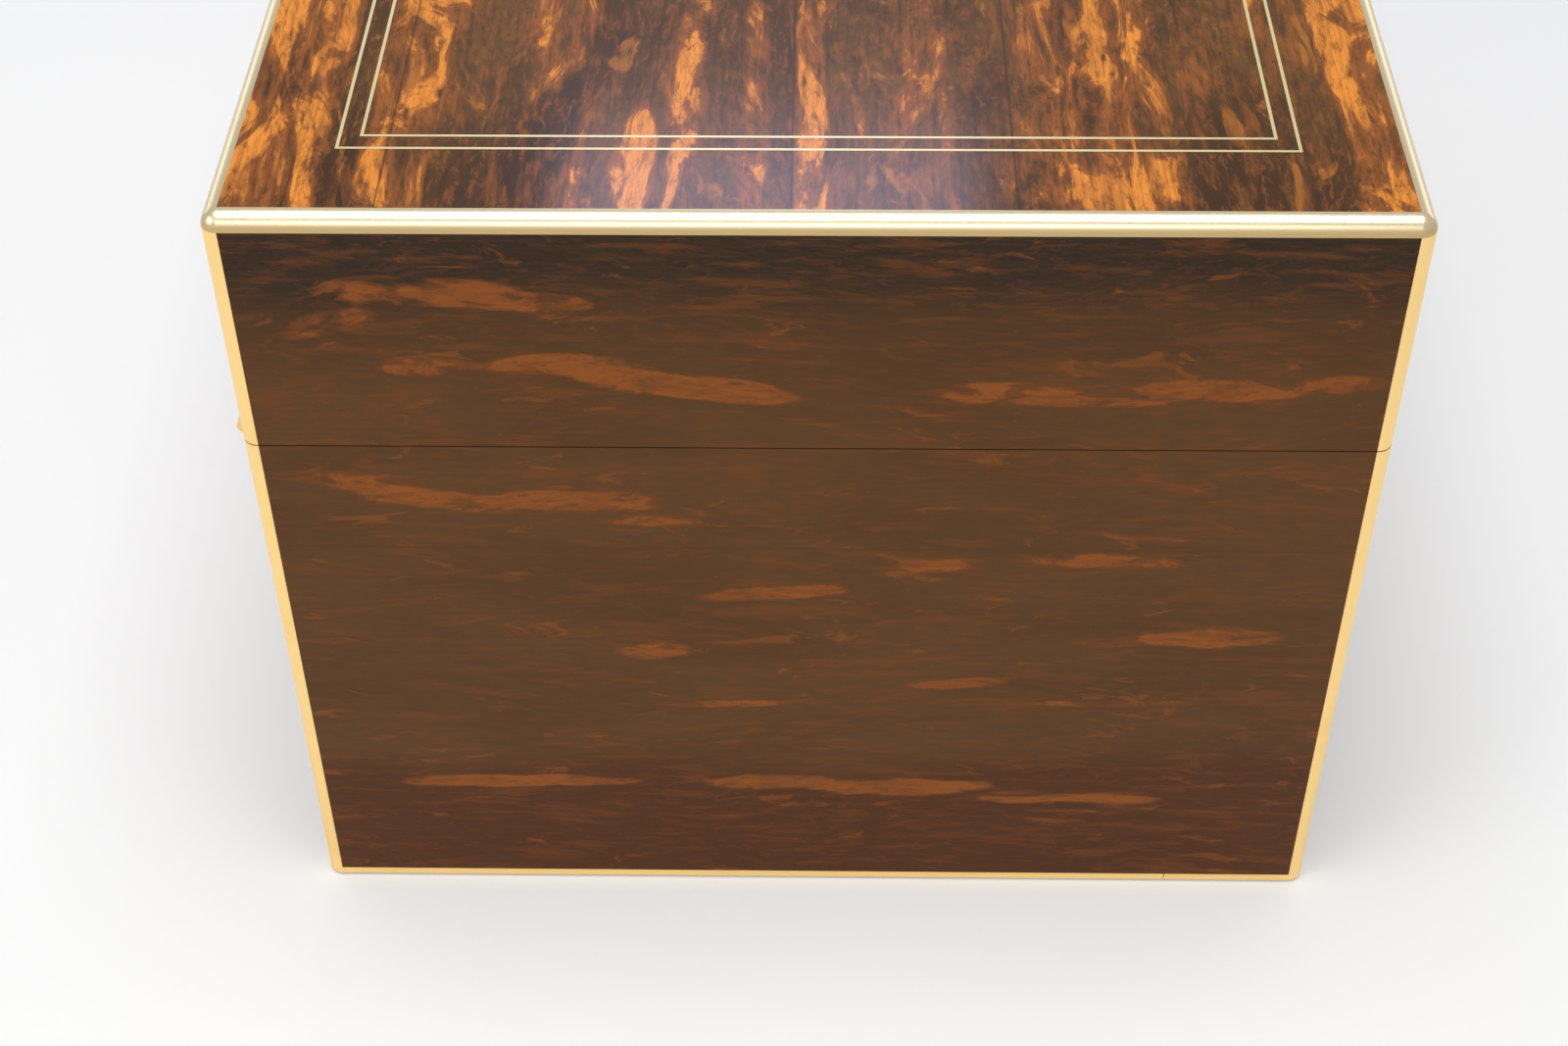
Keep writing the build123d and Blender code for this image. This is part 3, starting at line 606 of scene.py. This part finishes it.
@dataclass(frozen=True)
class PolishedBrass:
    """Old polished brass with soft rubbed marks and a little tarnish.

    Below a given height, in metres, it takes the darker tarnish colour all over: painted shade
    on the underside of a rail.
    """

    name: str
    bright: Colour = (0.93, 0.62, 0.26)
    tarnish_and_shade: Colour = (0.62, 0.36, 0.12)
    roughness: float = 0.20
    mottle: float = 0.35
    metallic: float = 1.0
    painted_shade_below: float | None = None

    def build(self) -> bpy.types.Material:
        """Make the material.

        Returns:
            The material.
        """
        g = Graph(self.name)
        place = g.place()
        slow = g.noise(place, 26.0, 4.0, 0.6)
        spots = g.noise(place, 240.0, 5.0, 0.7)
        rub = g.noise(g.stretched(place, (1.0, 1.0, 0.12)), 1400.0, 3.0)
        stain_and_shade = (slow * 0.6 + spots * 0.4).rise(0.50, 0.72) * self.mottle
        # Painted shade: below the given height the colour is darkened to the tarnish colour.
        if self.painted_shade_below is not None:
            top, bottom = self.painted_shade_below + 1.2 * MM, self.painted_shade_below - 0.8 * MM
            low = g.parts(place)[Axis.Z.value].rise(top, bottom)
            stain_and_shade = stain_and_shade.at_least(low * 0.85)
        colour = g.mixed(stain_and_shade, self.bright, self.tarnish_and_shade)
        g.bump(rub * 0.5 + spots * 0.5, 0.05 * MM, 0.25)
        return g.finish(
            Base_Color=colour,
            Metallic=self.metallic,
            Roughness=stain_and_shade * 0.25 + rub * 0.06 + self.roughness,
        )


@dataclass(frozen=True)
class SpringSteel:
    """Grey drawn steel."""

    name: str = "drawn_steel"

    def build(self) -> bpy.types.Material:
        """Make the material.

        Returns:
            The material.
        """
        g = Graph(self.name)
        rub = g.noise(g.stretched(g.place(), (0.1, 1.0, 1.0)), 1200.0, 3.0)
        colour = g.mixed(rub, (0.30, 0.31, 0.34), (0.50, 0.50, 0.51))
        return g.finish(Base_Color=colour, Metallic=1.0, Roughness=rub * 0.15 + 0.28)


@dataclass(frozen=True)
class Cloth:
    """Napped cloth: velvet or baize."""

    name: str
    deep: Colour
    pale: Colour
    sheen: float
    nap: float = 0.2 * MM

    def build(self) -> bpy.types.Material:
        """Make the material.

        Returns:
            The material.
        """
        g = Graph(self.name)
        place = g.place()
        crushed = g.noise(place, 34.0, 4.0, 0.6, 0.4)
        pile = g.noise(place, 2600.0, 2.0)
        colour = g.mixed(crushed.rise(0.35, 0.7) * 0.6 + pile * 0.25, self.deep, self.pale)
        g.bump(pile * 0.8 + crushed * 0.2, self.nap, 0.6)
        return g.finish(
            Base_Color=colour,
            Roughness=0.92,
            Sheen_Weight=self.sheen,
            Sheen_Roughness=0.35,
            Specular_IOR_Level=0.15,
        )


@dataclass(frozen=True)
class GrainedLeather:
    """Thin grained leather over the mirror's frame."""

    name: str = "grained_leather"

    def build(self) -> bpy.types.Material:
        """Make the material.

        Returns:
            The material.
        """
        g = Graph(self.name)
        place = g.place()
        grain = g.cells(place, 900.0)
        slow = g.noise(place, 30.0, 3.0)
        colour = g.mixed(slow.rise(0.3, 0.7), (0.055, 0.012, 0.022), (0.115, 0.028, 0.040))
        g.bump(grain.at_most(0.6), 0.25 * MM, 0.6)
        return g.finish(Base_Color=colour, Roughness=slow * 0.15 + 0.38)


@dataclass(frozen=True)
class SilveredGlass:
    """Old looking glass with faint foxing."""

    name: str = "silvered_glass"

    def build(self) -> bpy.types.Material:
        """Make the material.

        Returns:
            The material.
        """
        g = Graph(self.name)
        foxing = g.noise(g.place(), 120.0, 6.0, 0.75).rise(0.66, 0.78)
        colour = g.mixed(foxing * 0.7, (0.86, 0.88, 0.88), (0.30, 0.27, 0.22))
        return g.finish(Base_Color=colour, Metallic=1.0, Roughness=foxing * 0.3 + 0.03)


def dress(nodes: Sequence[str], material: bpy.types.Material) -> None:
    """Give carried-over nodes their finish.

    Args:
        nodes: Names of the nodes.
        material: The finish.
    """
    for name in nodes:
        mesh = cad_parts[name].data
        mesh.materials.clear()
        mesh.materials.append(material)
        log.info("%s: %s", name, material.name)


def set_smooth(piece: bpy.types.Object, angle: float = 35.0) -> None:
    """Shade a piece smooth except at its sharp edges.

    Args:
        piece: The piece.
        angle: Edges sharper than this stay sharp, in degrees.
    """
    mesh = piece.data
    for polygon in mesh.polygons:
        polygon.use_smooth = True
    limit = math.radians(angle)
    shaped = bmesh.new()
    shaped.from_mesh(mesh)
    for edge in shaped.edges:
        edge.smooth = len(edge.link_faces) == 2 and edge.calc_face_angle(0.0) < limit
    shaped.to_mesh(mesh)
    shaped.free()


def new_piece(
    name: str, shape: bmesh.types.BMesh, material: bpy.types.Material, body: str
) -> bpy.types.Object:
    """Turn a shape into a piece of the box.

    Args:
        name: Name of the piece.
        shape: Its shape, which is freed.
        material: Its finish.
        body: The body that it rides on.

    Returns:
        The piece.
    """
    mesh = bpy.data.meshes.new(name)
    shape.to_mesh(mesh)
    shape.free()
    mesh.materials.append(material)
    piece = bpy.data.objects.new(name, mesh)
    bpy.context.scene.collection.objects.link(piece)
    set_smooth(piece)
    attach(piece, body)
    log.info("%s: %d faces on %s", name, len(mesh.polygons), body)
    return piece


ROLL_STEPS = 4
FEWEST_CELLS = 6
DEEPEST = 0.9


def add_pad(
    shape: bmesh.types.BMesh,
    low: Sequence[float],
    high: Sequence[float],
    roll: float,
    relief: Callable[[float, float], float],
    cells: float,
    face_down: bool = False,
) -> None:
    """Add a closed pad: flat on one side, with rolled edges and a relief on the other.

    Args:
        shape: The shape that it joins.
        low: Its lowest corner.
        high: Its highest corner.
        roll: Radius of the rolled edge.
        relief: How far the soft side is sunk at a place, from 0 at the top.
        cells: Size of its faces.
        face_down: True when the soft side looks down.
    """
    width = high[0] - low[0]
    depth = high[1] - low[1]
    columns = max(FEWEST_CELLS, round(width / cells))
    rows = max(FEWEST_CELLS, round(depth / cells))
    steps = [roll * (1 - math.cos(math.pi / 2 * i / ROLL_STEPS)) for i in range(ROLL_STEPS + 1)]

    def stations(start: float, end: float, count: int) -> list[float]:
        """Places across the pad, close together where its edge rolls over.

        Args:
            start: The first place.
            end: The last place.
            count: Number of cells between the rolls.

        Returns:
            The places.
        """
        inner = [
            start + roll + (end - start - 2 * roll) * i / count for i in range(1, count)
        ]
        return [start + s for s in steps] + inner + [end - s for s in reversed(steps)]

    xs = stations(low[0], high[0], columns)
    ys = stations(low[1], high[1], rows)
    soft, flat = (low[2], high[2]) if face_down else (high[2], low[2])
    inward = 1.0 if face_down else -1.0

    def sunk(x: float, y: float) -> float:
        """Drop of the soft side below its highest level.

        Args:
            x: Place along the pad.
            y: Place across it.

        Returns:
            The drop.
        """
        edge = min(x - low[0], high[0] - x, y - low[1], high[1] - y)
        if edge >= roll:
            rolled = 0.0
        else:
            rolled = roll - math.sqrt(max(0.0, roll * roll - (roll - edge) ** 2))
        return min(rolled + relief(x, y), abs(soft - flat) * DEEPEST)

    top = [[shape.verts.new((x, y, soft + inward * sunk(x, y))) for y in ys] for x in xs]
    for i in range(len(xs) - 1):
        for j in range(len(ys) - 1):
            ring = [top[i][j], top[i + 1][j], top[i + 1][j + 1], top[i][j + 1]]
            shape.faces.new(ring if not face_down else ring[::-1])
    rim = (
        [top[i][0] for i in range(len(xs))]
        + [top[-1][j] for j in range(1, len(ys))]
        + [top[i][-1] for i in range(len(xs) - 2, -1, -1)]
        + [top[0][j] for j in range(len(ys) - 2, 0, -1)]
    )
    base = [shape.verts.new((v.co.x, v.co.y, flat)) for v in rim]
    for k in range(len(rim)):
        nxt = (k + 1) % len(rim)
        ring = [rim[k], base[k], base[nxt], rim[nxt]]
        shape.faces.new(ring if not face_down else ring[::-1])
    shape.faces.new(base[::-1] if not face_down else base)


def solids_of(node: str) -> list[Box]:
    """Find the box of each solid of a node.

    Args:
        node: Name of the node.

    Returns:
        Lowest and highest corner of each solid, in the order of their places.
    """
    shape = bmesh.new()
    shape.from_mesh(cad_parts[node].data)
    bmesh.ops.remove_doubles(shape, verts=shape.verts, dist=1e-6)
    left = set(shape.verts)
    found = []
    while left:
        queue = [left.pop()]
        group = list(queue)
        while queue:
            for edge in queue.pop().link_edges:
                for vert in edge.verts:
                    if vert in left:
                        left.remove(vert)
                        queue.append(vert)
                        group.append(vert)
        low = Vector([min(v.co[i] for v in group) for i in range(3)])
        high = Vector([max(v.co[i] for v in group) for i in range(3)])
        found.append((low, high))
    shape.free()
    return sorted(found, key=lambda box: tuple(box[0]))


# Warm patches seen on the top, then on the lid's and the body's end.
TOP_PATCHES = (
    Patch(-150, 107, 400, 11, warmth=1.5),
    Patch(-130, 84, 400, 9, warmth=1.1),
    Patch(-110, 53, 400, 8, warmth=0.8),
    Patch(-152, 36, 22, 5, warmth=1.2),
    Patch(-110, 26, 400, 3, warmth=0.8),
    Patch(-120, 13, 400, 2.5, warmth=0.6),
    Patch(-110, 2, 400, 3.5, warmth=0.9),
    Patch(-130, -22, 400, 7, warmth=0.75),
    Patch(-110, -50, 400, 10, warmth=1.1),
    Patch(-120, -65, 400, 8, warmth=0.9),
    Patch(-130, -112, 400, 8, warmth=1.1),
)
LID_END_PATCHES = (
    Patch(54, 162.5, 13, 3, -1, 1.1),
    Patch(37, 158.5, 15, 3.5, 2, 1.2),
    Patch(18, 156, 14, 3.5, 1, 1.1),
    Patch(-36, 157, 15, 3.5, warmth=1.1),
    Patch(-56, 155, 16, 1.6, warmth=0.9),
    Patch(-80, 158, 18, 3, 1),
    Patch(88, 181, 10, 3.5, warmth=0.8),
    Patch(68, 180, 12, 4, 1, 0.9),
    Patch(54, 178, 11, 2.5, warmth=0.8),
    Patch(97, 173, 13, 3.5, -2, 0.9),
    Patch(78, 162, 11, 2.5, warmth=0.8),
    Patch(-108, 159, 12, 2.5, warmth=0.8),
)
BODY_END_PATCHES = (
    Patch(98, 132, 18, 3, 2, 0.8),
    Patch(80, 126, 22, 3, 3, 0.85),
    Patch(50, 126, 20, 3.5, 1, 0.85),
    Patch(34, 120, 12, 2, warmth=0.7),
    Patch(10, 99, 18, 2.5, -2, 0.95),
    Patch(-22, 107, 14, 2.5, -2, 0.9),
    Patch(-58, 110, 22, 2.5, 1, 0.85),
    Patch(36, 81, 9, 3, -1),
    Patch(-70, 84, 13, 2.5, -1, 0.9),
    Patch(-90, 86, 15, 4, -1),
    Patch(-33, 70, 13, 2, -1),
    Patch(23, 64, 18, 1.2, warmth=0.9),
    Patch(-66, 64, 24, 1.2, warmth=0.9),
    Patch(72, 36, 30, 2.5, warmth=1.1),
    Patch(10, 35.5, 18, 3, warmth=1.1),
    Patch(-22, 34, 20, 3.5, -1, 1.1),
    Patch(-50, 31, 12, 3),
    Patch(-71, 31, 12, 3),
)
TOP_JOINTS = (0.086, 0.005, -0.039)
BODY_END_CRACK = 0.112
# Height below which the rails' brass is painted darker as shade.
RAIL_UNDERSIDE = 0.1968
MAHOGANY = StraightWood("mahogany", (0.33, 0.125, 0.052), (0.16, 0.052, 0.024))
BODY_END_VENEER = FiguredVeneer(
    "body_end_veneer",
    Axis.Y,
    Axis.Z,
    ground=(0.120, 0.051, 0.013),
    shade=(0.100, 0.041, 0.010),
    red=(0.195, 0.058, 0.011),
    amber=(0.295, 0.084, 0.012),
    figure=170.0,
    stretch=3.6,
    level=0.655,
    edge=0.035,
    heat=0.25,
    cooling=0.14,
    grain=0.25,
    wisp_share=0.5,
    speckle=0.28,
    fleck_share=0.5,
    patches=BODY_END_PATCHES,
    tones=(Tone(0.050, 0.037, (0.086, 0.025, 0.0065), 0.9),),
    crack=BODY_END_CRACK,
    offset=0.31,
    specular=0.08,
    coat=0.12,
    coat_roughness=0.09,
)
LID_END_VENEER = replace(
    BODY_END_VENEER,
    name="lid_end_veneer",
    patches=LID_END_PATCHES,
    tones=(
        Tone(0.150, 0.180, (0.066, 0.028, 0.009), 0.7),
        Tone(0.172, 0.188, (0.021, 0.014, 0.008), 0.85),
    ),
    crack=None,
    offset=0.62,
)
LONG_SIDE_VENEER = replace(
    BODY_END_VENEER,
    name="long_side_veneer",
    along=Axis.X,
    level=0.56,
    patches=(),
    tones=(),
    crack=None,
    offset=0.17,
)


@dataclass
class Finishes:
    """Every finish of the box, made once."""

    brass: bpy.types.Material = field(init=False)
    rail_brass: bpy.types.Material = field(init=False)
    line_brass: bpy.types.Material = field(init=False)
    corner_brass: bpy.types.Material = field(init=False)
    old_brass: bpy.types.Material = field(init=False)
    top_veneer: bpy.types.Material = field(init=False)
    end_veneer: bpy.types.Material = field(init=False)
    lid_end_veneer: bpy.types.Material = field(init=False)
    long_veneer: bpy.types.Material = field(init=False)
    mahogany: bpy.types.Material = field(init=False)
    mahogany_across: bpy.types.Material = field(init=False)
    rosewood: bpy.types.Material = field(init=False)
    velvet: bpy.types.Material = field(init=False)
    baize: bpy.types.Material = field(init=False)
    leather: bpy.types.Material = field(init=False)
    mirror: bpy.types.Material = field(init=False)
    steel: bpy.types.Material = field(init=False)

    def __post_init__(self) -> None:
        """Make the materials."""
        self.brass = PolishedBrass("polished_brass").build()
        # The rails' brass gets painted shade on its lower part.
        self.rail_brass = PolishedBrass(
            "rail_brass", (0.80, 0.68, 0.45), (0.60, 0.42, 0.18), 0.22, 0.3,
            painted_shade_below=RAIL_UNDERSIDE,
        ).build()
        self.line_brass = PolishedBrass(
            "line_brass", (0.66, 0.54, 0.27), (0.50, 0.36, 0.14), 0.3, 0.5, metallic=0.4
        ).build()
        self.corner_brass = PolishedBrass(
            "corner_brass", (1.0, 0.71, 0.29), (0.95, 0.58, 0.20), 0.36, 0.3
        ).build()
        self.old_brass = PolishedBrass("worn_brass", roughness=0.3, mottle=0.6).build()
        self.top_veneer = FiguredVeneer(
            "top_veneer", Axis.X, Axis.Y, joints=TOP_JOINTS, patches=TOP_PATCHES
        ).build()
        self.end_veneer = BODY_END_VENEER.build()
        self.lid_end_veneer = LID_END_VENEER.build()
        self.long_veneer = LONG_SIDE_VENEER.build()
        self.mahogany = MAHOGANY.build()
        self.mahogany_across = replace(MAHOGANY, name="mahogany_across", along=Axis.Y).build()
        self.rosewood = StraightWood(
            "rosewood", (0.19, 0.070, 0.040), (0.055, 0.022, 0.016), Axis.Y, 0.3
        ).build()
        self.velvet = Cloth(
            "plum_velvet", (0.050, 0.010, 0.034), (0.150, 0.035, 0.095), 0.6
        ).build()
        self.baize = Cloth(
            "dark_baize", (0.012, 0.014, 0.012), (0.030, 0.032, 0.028), 0.15
        ).build()
        self.leather = GrainedLeather().build()
        self.mirror = SilveredGlass().build()
        self.steel = SpringSteel().build()


@dataclass
class Linings:
    """Velvet on the floors of the compartments: one pad for each solid of a node."""

    finishes: Finishes
    roll: float = 0.5 * MM
    cell: float = 8 * MM

    def cover(self, node: str, body: str) -> None:
        """Lay rolled-edged velvet pads over a node's solids and let them replace it.

        Args:
            node: The lining's node.
            body: The body that it rides on.
        """
        shape = bmesh.new()
        for low, high in solids_of(node):
            add_pad(shape, low, high, self.roll, self._nap, self.cell)
        piece = new_piece(node + "_velvet", shape, self.finishes.velvet, body)
        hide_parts(node)

    @staticmethod
    def _nap(x: float, y: float) -> float:
        """Slow unevenness of glued velvet."""
        return 0.12 * MM * (1 + math.sin(61 * x + 1.3) * math.cos(73 * y))


@dataclass
class Body:
    """Carcass, veneers, edging, base, hinge leaf and lock of the box itself."""

    finishes: Finishes

    def build(self) -> None:
        """Dress the nodes of the body."""
        made = self.finishes
        dress(["carcass_front_board", "carcass_back_board"], made.mahogany)
        dress(["base_board", "dust_board"], made.mahogany)
        dress(["carcass_end_boards"], made.mahogany_across)
        dress(["body_front_veneer", "body_back_veneer"], made.long_veneer)
        dress(["body_end_veneers"], made.end_veneer)
        dress(["body_corner_edging", "base_edging"], made.corner_brass)
        dress(["base_pad"], made.baize)
        dress(["hinge_body_leaf", "body_screws", "lock_case"], made.old_brass)
        dress(["lock_rim_plate", "lock_bolt", "escutcheon"], made.brass)
        dress(["hinge_pin", "ejector_spring"], made.steel)
        dress(["well_fence", "pin_block", "well_partitions"], made.rosewood)
        dress(["drawer_pin", "drawer_keep"], made.brass)
        Linings(made).cover("well_lining", "case")


@dataclass
class Lid:
    """Boards, veneers, brass lines, rails and the fittings inside the lid."""

    finishes: Finishes
    quilt: float = 30 * MM
    channel: float = 3.4 * MM
    pad_roll: float = 2.2 * MM
    pad_cell: float = 2.2 * MM
    pad_drop: float = 1.2 * MM

    def build(self) -> None:
        """Dress the nodes of the lid and pad its lining."""
        made = self.finishes
        dress(["lid_top_board", "lid_front_board", "lid_back_board"], made.mahogany)
        dress(["lid_end_boards"], made.mahogany_across)
        dress(["lid_top_veneer"], made.top_veneer)
        dress(["lid_end_veneers"], made.lid_end_veneer)
        dress(["lid_front_veneer", "lid_back_veneer"], made.long_veneer)
        dress(["lid_outer_line", "lid_inner_line"], made.line_brass)
        dress(["lid_corner_edging"], made.corner_brass)
        dress(["lid_long_rails", "lid_end_rails"], made.rail_brass)
        dress(["hinge_lid_leaf", "lid_screws", "link_plate", "button_pivots"], made.old_brass)
        dress(["left_turn_button", "right_turn_button"], made.brass)
        dress(["lid_battens"], made.rosewood)
        dress(["mirror_frame"], made.leather)
        dress(["mirror_glass"], made.mirror)
        self._pad_lining()

    def _quilted(self, x: float, y: float) -> float:
        """Depth of the sewn diamond channels at a place on the lining.

        Args:
            x: Place along the box.
            y: Place across it.

        Returns:
            The depth in metres.
        """
        first = (x + y) / self.quilt % 1.0
        second = (x - y) / self.quilt % 1.0
        near = min(first, 1 - first, second, 1 - second) * self.quilt
        return self.pad_drop * math.exp(-((near / self.channel) ** 2))

    def _pad_lining(self) -> None:
        """Quilted velvet pads that replace the plain solids of the lining."""
        shape = bmesh.new()
        for low, high in solids_of("lid_lining_pad"):
            add_pad(shape, low, high, self.pad_roll, self._quilted, self.pad_cell, True)
        piece = new_piece("lid_padding", shape, self.finishes.velvet, "lid")
        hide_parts("lid_lining_pad")


@dataclass
class Tray:
    """Lift-out tray."""

    finishes: Finishes

    def build(self) -> None:
        """Dress the nodes of the tray."""
        made = self.finishes
        dress(["tray_sides", "tray_bottom"], made.mahogany)
        dress(["tray_ends", "tray_partitions"], made.rosewood)
        Linings(made).cover("tray_lining", "tray")


@dataclass
class Drawer:
    """Dovetailed drawer in the base."""

    finishes: Finishes

    def build(self) -> None:
        """Dress the nodes of the drawer."""
        made = self.finishes
        dress(["drawer_front", "drawer_back", "drawer_bottom"], made.mahogany)
        dress(["drawer_sides"], made.mahogany_across)
        dress(["drawer_front_veneer"], made.long_veneer)
        dress(["drawer_partitions"], made.rosewood)
        Linings(made).cover("drawer_lining", "drawer")


@dataclass(frozen=True)
class SoftLamp:
    """Rectangular lamp aimed at a point, with sizes in metres and its power in watts."""

    name: str
    place: tuple[float, float, float]
    width: float
    height: float
    power: float
    target: tuple[float, float, float] = (0.0, 0.0, 0.1)
    colour: Colour = (1.0, 1.0, 1.0)

    def build(self) -> None:
        """Hang the lamp."""
        data = bpy.data.lights.new(self.name, "AREA")
        data.shape = "RECTANGLE"
        data.size, data.size_y = self.width, self.height
        data.energy = self.power
        data.color = self.colour
        lamp = bpy.data.objects.new(self.name, data)
        lamp.location = self.place
        aim = Vector(self.target) - Vector(self.place)
        lamp.rotation_euler = aim.to_track_quat("-Z", "Y").to_euler()
        bpy.context.scene.collection.objects.link(lamp)


# The far panel gives the bluish haze on the front of the lid's top.
LAMPS = (
    SoftLamp("overhead_softbox", (-0.25, 0.0, 1.6), 1.0, 0.9, 18.8),
    SoftLamp("end_softbox", (-1.9, 0.1, 1.3), 1.2, 0.8, 8.0),
    SoftLamp("back_softbox", (-0.8, 1.3, 0.9), 0.9, 0.9, 5.0),
    SoftLamp("front_low_panel", (1.5, -1.3, 0.45), 1.3, 0.5, 2.0, (0.0, 0.0, 0.2)),
    SoftLamp("back_low_panel", (1.5, 1.3, 0.45), 1.3, 0.5, 2.0, (0.0, 0.0, 0.2)),
    SoftLamp(
        "far_panel", (1.0, 0.04, 1.03), 0.32, 0.07, 1.9, (-0.14, 0.01, 0.2), (0.55, 0.62, 1.0)
    ),
)


@dataclass
class Studio:
    """Pale floor, soft lamps, world and the camera at the photograph's angle.

    Sizes are in metres, angles in degrees, the lens in millimetres. The floor glows a little
    where it is looked at: by one share near the box, and by another one more far from it,
    which comes in between two squared distances.
    """

    floor_size: float = 40.0
    floor_colour: Colour = (0.86, 0.855, 0.84)
    backdrop: Colour = (0.62, 0.62, 0.61)
    glow_colour: Colour = (1.0, 0.995, 0.985)
    near_glow: float = 0.17
    far_glow: float = 0.33
    glow_rises: tuple[float, float] = (0.7, 6.0)
    fill_colour: Colour = (0.93, 0.96, 1.0)
    fill: float = 0.28
    camera_place: tuple[float, float, float] = (-0.5568, -0.0011, 0.4793)
    pitch: float = 42.91
    yaw: float = 1.164
    roll: float = -0.447
    lens: float = 56.68

    def build(self) -> None:
        """Make the floor, the light and the camera."""
        self._floor()
        self._world()
        for lamp in LAMPS:
            lamp.build()
        self._camera()

    def _floor(self) -> None:
        """Pale floor that keeps the box's shadow."""
        mesh = bpy.data.meshes.new("studio_floor")
        half = self.floor_size / 2
        corners = [(-half, -half, 0), (half, -half, 0), (half, half, 0), (-half, half, 0)]
        mesh.from_pydata(corners, [], [(0, 1, 2, 3)])
        g = Graph("pale_floor")
        g.finish(Base_Color=self.floor_colour, Roughness=0.9, Specular_IOR_Level=0.1)
        glow = g.add("ShaderNodeEmission", None, {"Color": self.glow_colour, "Strength": 1.0})
        x, y, _ = g.parts(g.place())
        share = (x * x + y * y).rise(*self.glow_rises) * self.far_glow + self.near_glow
        g.feed(g.output.inputs["Surface"], g.blended(g.looked_at() * share, g.shader, glow))
        mesh.materials.append(g.material)
        floor = bpy.data.objects.new("studio_floor", mesh)
        bpy.context.scene.collection.objects.link(floor)

    def _world(self) -> None:
        """Dim even light, and an off-white backdrop where the camera looks at it."""
        world = bpy.data.worlds.new("studio_world")
        bpy.context.scene.world = world
        world.use_nodes = True
        g = Nodes(world.node_tree)
        dim = g.add(
            "ShaderNodeBackground", None, {"Color": self.fill_colour, "Strength": self.fill}
        )
        pale = g.add("ShaderNodeBackground", None, {"Color": self.backdrop})
        both = g.blended(g.looked_at(), dim, pale)
        g.add("ShaderNodeOutputWorld", None, {"Surface": both})

    def _camera(self) -> None:
        """Camera fitted to the corners of the box in the photograph."""
        data = bpy.data.cameras.new("camera")
        data.sensor_width = 36.0
        data.lens = self.lens
        camera = bpy.data.objects.new("camera", data)
        heading = Matrix.Rotation(math.radians(self.yaw - 90), 4, "Z")
        tilt = Matrix.Rotation(math.radians(90 - self.pitch), 4, "X")
        turn = Matrix.Rotation(math.radians(self.roll), 4, "Z")
        camera.matrix_world = Matrix.Translation(self.camera_place) @ heading @ tilt @ turn
        bpy.context.scene.collection.objects.link(camera)
        bpy.context.scene.camera = camera


def main() -> None:
    """Build every sub-assembly and the studio."""
    logging.basicConfig(level=logging.INFO, format="%(message)s")
    finishes = Finishes()
    for assembly in (Body(finishes), Lid(finishes), Tray(finishes), Drawer(finishes)):
        assembly.build()
        log.info("built %s", type(assembly).__name__)
    Studio().build()
    scene = bpy.context.scene
    scene.view_settings.view_transform = "Standard"


if __name__ == "__main__":
    main()
